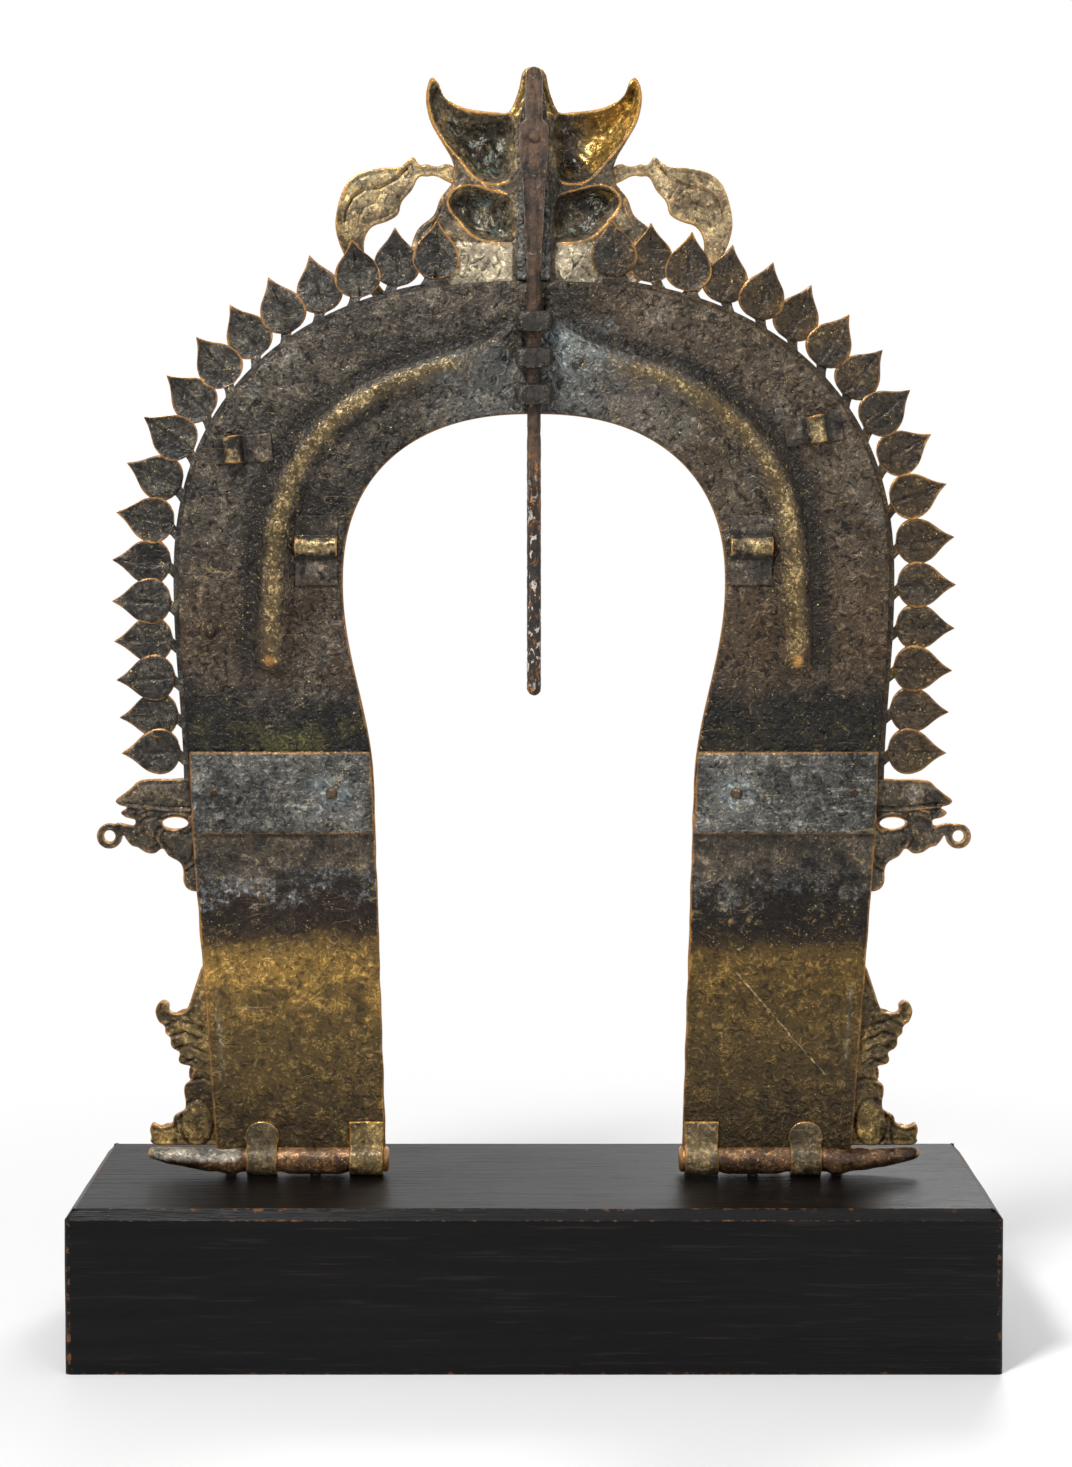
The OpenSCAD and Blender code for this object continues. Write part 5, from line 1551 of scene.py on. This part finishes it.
# %% Leg panels with flowers
PANEL_LOW, PANEL_TOP = 33.6, 160.5
flower_boss = [(-1, 0), (-1, 4.2), (1.6, 4.0), (2.8, 2.4), (3.2, 0)]
for side, word in SIDES:
    panel = bmesh.new()
    for v in unit_grid(panel, 44, 90):
        u, q = v.co.x, v.co.y
        h = PANEL_LOW + (PANEL_TOP - PANEL_LOW) * q
        near, far = inner_half(h) + 14, outer_half(h) - 12.5
        inset = min(u * (far - near), (1 - u) * (far - near), h - PANEL_LOW, PANEL_TOP - h)
        rise = 1.6 * ease(inset / 1.6) - 1.1 * ease((inset - 3.4) / 1.2) + 0.5 * ease((inset - 6) / 1.5)
        v.co = spot(side * (near + u * (far - near)), FRONT + rise + 0.1, h)
    thicken(panel, panel.faces[:], lambda x, y, h: FRONT - 0.1)
    for h in (59, 97, 135):
        x = side * ((inner_half(h) + outer_half(h)) / 2 + 0.75)
        for k in range(8):
            lay_leaf(panel, x, h, k * math.pi / 4 + 0.39, 14, 8.5, 2.0, FRONT + 1.0)
        spin_up(panel, flower_boss, spot(x, FRONT + 1.2, h), (0, 1, 0), 20)
    mark(panel, "rub", lambda x, y, h: 0.85 * ease((y - FRONT - 1.15) / 1.0))
    mark(panel, "deep", lambda x, y, h: 0.5 * ease((FRONT + 0.9 - y) / 0.4))
    set_in_place(panel, f"leg_panel_{word}", leg_finish, "arch", crisp=None)

# %% [markdown]
# From the front the mask's hollows are horns and cheeks. It still needs what the smith set on it: round eyes
# with a ring and a pupil, a broad nose, and teeth. They are spun or drawn from small grids and bedded in the
# sheet.

# %% The lion's eyes and teeth
EYE_X, EYE_H = 21.5, CROWN_TOP + 59
eye = [(-0.3, 0), (-0.3, 9.2), (1.0, 9.2), (2.2, 8.0), (1.6, 6.8), (3.4, 5.4), (4.6, 3.2), (4.2, 2.2), (4.4, 0)]
fang = [(-1, 0), (-1, 2.6), (3, 2.4), (7.5, 1.5), (11, 0)]
tooth = [(-1, 0), (-1, 2.0), (2.5, 2.1), (5, 1.4), (5.8, 0)]
face = bmesh.new()
for side, _ in SIDES:
    spin_up(face, eye, spot(side * EYE_X, 15.6, EYE_H), (0, 1, 0), 28)
    fang_way = Vector((side * 0.25, 0.25, -0.94)).normalized()
    spin_up(face, fang, spot(side * 22, 7.4, CROWN_TOP + 15.5), fang_way, 14)
    for k in range(4):
        spin_up(face, tooth, spot(side * (2.3 + 4.5 * k), 6.9, CROWN_TOP + 13.5 + 0.4 * k), (0, 0, -1), 12)
print("eyes and teeth:", len(face.faces), "faces")


# %% Its nose, and dirt round the eyes
def eye_dark(x, y, h):
    """Dirt lies in the ring round each eyeball and in its pupil."""
    off = math.hypot(abs(x) - EYE_X, h - EYE_H)
    return 1.1 * math.exp(-((off - 6.8) / 0.8) ** 2) + 1.2 * ease((2.9 - off) / 0.8)


before_nose = set(face.faces)
for v in unit_grid(face, 18, 22):
    u, q = 2 * v.co.x - 1, v.co.y
    half = 4.5 + 6.5 * q ** 1.5
    tip = math.sqrt(max(1 - (max(q - 0.8, 0) / 0.2) ** 2, 0.0))
    nostril = 2.2 * q ** 3 * math.exp(-((abs(u) - 0.6) / 0.22) ** 2)
    stand = ((3.5 + 9 * q) * (1 - abs(u) ** 2.2) + nostril) * tip
    v.co = spot(u * half, 6.0 + stand, CROWN_TOP + 54 - 33 * q)
thicken(face, new_faces(face, before_nose), lambda x, y, h: 5.6)
mark(face, "rub", lambda x, y, h: 0.55)
mark(face, "deep", eye_dark)
set_in_place(face, "lion_face", mask_finish, "crest", (), "brass_gold", crisp=None)

# %% [markdown]
# ## The wooden block
#
# A block of black-stained wood, its upper arrises planed off and its edges rubbed brown. It starts as a
# cube; bevels make the planed arris and the soft corners, rows of plane cuts give it points to dent, and a
# Boolean drills the four sockets.


# %% Stained wood
def stained_wood():
    """Black stain with pores along the block's length, scuffed, and rubbed to bare wood at the edges."""
    material, shader, place = new_finish("black_wood")
    rim = carried(place, "rim")
    pores = cloud(turned(place, 0, (0.035, 1.0, 1.0)), 1.6, 3.0, 0.7)
    figure = cloud(turned(place, 0, (0.05, 1.0, 1.0)), 9, 4.0)
    slow = cloud(place, 60)
    streak = patch(pores, 0.57, 0.7)
    colour = tint(patch(figure, 0.35, 0.7), paint("#050404"), paint("#0d0b0b"))
    colour = tint(streak * 0.5, colour, paint("#262120"))
    scuffs = patch(slow * 0.4 + pores * 0.7, 0.72, 0.8)
    colour = tint(scuffs * 0.5, colour, paint("#46301f"))
    bare = patch(0.5 * rim + cloud(place, 5, 7.0, 0.75) + 0.4 * (slow - 0.5), 0.98, 1.1)
    colour = tint(bare * 0.85, colour, paint("#6e4a2c"))
    roughness = 0.32 + 0.2 * streak + 0.2 * bare + 0.1 * slow
    shader.inputs["Specular IOR Level"].default_value = 0.14
    pour(shader, place, colour, roughness, 0.0, 0.5 * pores + 0.3 * figure)
    return material


# %% Cut, planed and dented
LONG, DEEP, HIGH = 0.425, 0.13, BLOCK_TOP / 1000
CUT_REACH = 0.22  # m each way, past the block's ends
block = bmesh.new()
bmesh.ops.create_cube(block, size=1.0)
bmesh.ops.scale(block, verts=block.verts, vec=(LONG, DEEP, HIGH))
bmesh.ops.translate(block, verts=block.verts, vec=(0, 0, HIGH / 2))
upright = [e for e in block.edges if abs(e.verts[0].co.z - e.verts[1].co.z) > 0.05]
bmesh.ops.bevel(block, geom=upright, offset=0.0025, offset_type="OFFSET", segments=3, profile=0.5,
                affect="EDGES", material=-1)
top_edges = [e for e in block.edges if all(v.co.z > HIGH - 0.0001 for v in e.verts)]
bmesh.ops.bevel(block, geom=top_edges, offset=0.0045, offset_type="OFFSET", segments=1, profile=0.5,
                affect="EDGES", material=-1)
soften(block, 0.7, crisp=0.5)
for axis, step in (((1, 0, 0), 0.006), ((0, 1, 0), 0.006), ((0, 0, 1), 0.005)):
    for k in np.arange(-CUT_REACH, CUT_REACH, step):
        whole = block.verts[:] + block.edges[:] + block.faces[:]
        bmesh.ops.bisect_plane(block, geom=whole, plane_co=Vector(axis) * float(k), plane_no=axis)
for v in block.verts:
    x, y, h = measured(v.co)
    if h > 0.5 - BLOCK_TOP:
        v.co += v.normal * 0.25 * noise.noise(Vector((x / 60, y / 30, h / 30))) / 1000
block_piece = set_in_place(block, "block_planed", stained_wood(), "block", ["block"], "wood_black",
                           reach_mm=1.4, crisp=0.2)

# %% The sockets
sockets = bmesh.new()
for x in DOWELS:
    spin_up(sockets, [(0, 0), (0, 2.62), (46, 2.62), (46, 0)], spot(x, 0, -36), (0, 0, 1), steps=28)
socket_mesh = bpy.data.meshes.new("sockets")
sockets.to_mesh(socket_mesh)
sockets.free()
cutter = bpy.data.objects.new("sockets", socket_mesh)
bpy.context.scene.collection.objects.link(cutter)
drill = block_piece.modifiers.new("sockets", "BOOLEAN")
drill.operation, drill.object, drill.solver = "DIFFERENCE", cutter, "MANIFOLD"
evaluated = block_piece.evaluated_get(bpy.context.evaluated_depsgraph_get())
drilled = bpy.data.meshes.new_from_object(evaluated)
block_piece.modifiers.clear()
block_piece.data = drilled
bpy.data.objects.remove(cutter)
bpy.context.view_layer.update()
for x in DOWELS:
    floor_hit = block_piece.ray_cast(spot(x + 0.6, 0.4, 20), Vector((0, 0, -1)))[1]
    print("socket at", x, "mm is", round(-measured(floor_hit)[2], 1), "mm deep")

# %% [markdown]
# ## Room, lamps and camera
#
# A white floor that fades to white, a soft key lamp from above and a wide fill: a museum's plain product
# light. The camera stands 1.27 m away, a little above the spring of the arch, and looks a little down.

# %% The room
floor = bmesh.new()
bmesh.ops.create_grid(floor, x_segments=2, y_segments=2, size=4.0)
floor_mesh = bpy.data.meshes.new("studio_floor")
floor.to_mesh(floor_mesh)
floor.free()
floor_finish, floor_shader, floor_place = new_finish("studio_white")
floor_shader.inputs["Base Color"].default_value = (0.88, 0.88, 0.88, 1)
floor_shader.inputs["Roughness"].default_value = 0.6
glow = floor_place.node("Emission", None, {"Strength": 1.0})
away = floor_place.node("VectorMath", {"operation": "LENGTH"}, {0: floor_place}, out=1)
watched = larger(floor_place.node("LightPath", out=0), floor_place.node("LightPath", out=3))
lit = Tone(floor_place.tree, floor_shader.outputs[0])
faded = floor_place.node("MixShader", None, {0: patch(away, 0.24, 0.62) * watched, 1: lit, 2: glow})
surface = floor_finish.node_tree.nodes["Material Output"].inputs["Surface"]
floor_finish.node_tree.links.new(faded.socket, surface)
floor_mesh.materials.append(floor_finish)
floor_piece = bpy.data.objects.new("studio_floor", floor_mesh)
bpy.context.scene.collection.objects.link(floor_piece)
print("floor:", [round(s, 1) for s in floor_piece.dimensions], "m")

# %% The sky and the lamps
room = bpy.data.worlds.new("room")
bpy.context.scene.world = room
room.use_nodes = True
background = room.node_tree.nodes["Background"].inputs
sky = Tone(room.node_tree)
seen, shiny, through = (sky.node("LightPath", out=ray_kind) for ray_kind in (0, 3, 6))
white = larger(seen, larger(shiny, through))
room.node_tree.links.new((0.29 + 0.71 * white).socket, background["Strength"])
background["Color"].default_value = (1, 1, 1, 1)


def lamp(name, place, aim, size, watts):
    """A soft square lamp."""
    data = bpy.data.lights.new(name, "AREA")
    data.size, data.energy = size, watts
    made = bpy.data.objects.new(name, data)
    made.location = place
    made.rotation_euler = (Vector(aim) - Vector(place)).to_track_quat("-Z", "Y").to_euler()
    bpy.context.scene.collection.objects.link(made)


lamp("key_lamp", (-0.55, -0.95, 1.4), (0, 0, 0.35), 0.3, 22.0)
lamp("fill_lamp", (0.9, -1.6, 0.7), (0, 0, 0.3), 0.7, 5.0)
lamp("front_lamp", (0.5, 1.5, 1.3), (0, 0, 0.35), 0.6, 12.0)
lamp("top_lamp", (0.2, -0.1, 1.7), (0, 0, 0.3), 0.9, 4.0)

# %% The camera
camera_data = bpy.data.cameras.new("camera")
camera_data.lens, camera_data.sensor_width = 65.9, 36.0
camera_data.shift_x, camera_data.shift_y = 0.0014, -0.084
looks_down = math.radians(2.5)
camera = bpy.data.objects.new("camera", camera_data)
camera.location = (0.0, -1.265, 0.399)
camera.rotation_euler = (math.pi / 2 - looks_down, 0.0, 0.0)
bpy.context.scene.collection.objects.link(camera)
bpy.context.scene.camera = camera
bpy.context.scene.view_settings.view_transform = "Standard"
print("camera:", round(camera_data.lens, 1), "mm lens,", round(camera.location.length, 2), "m from the floor's middle")
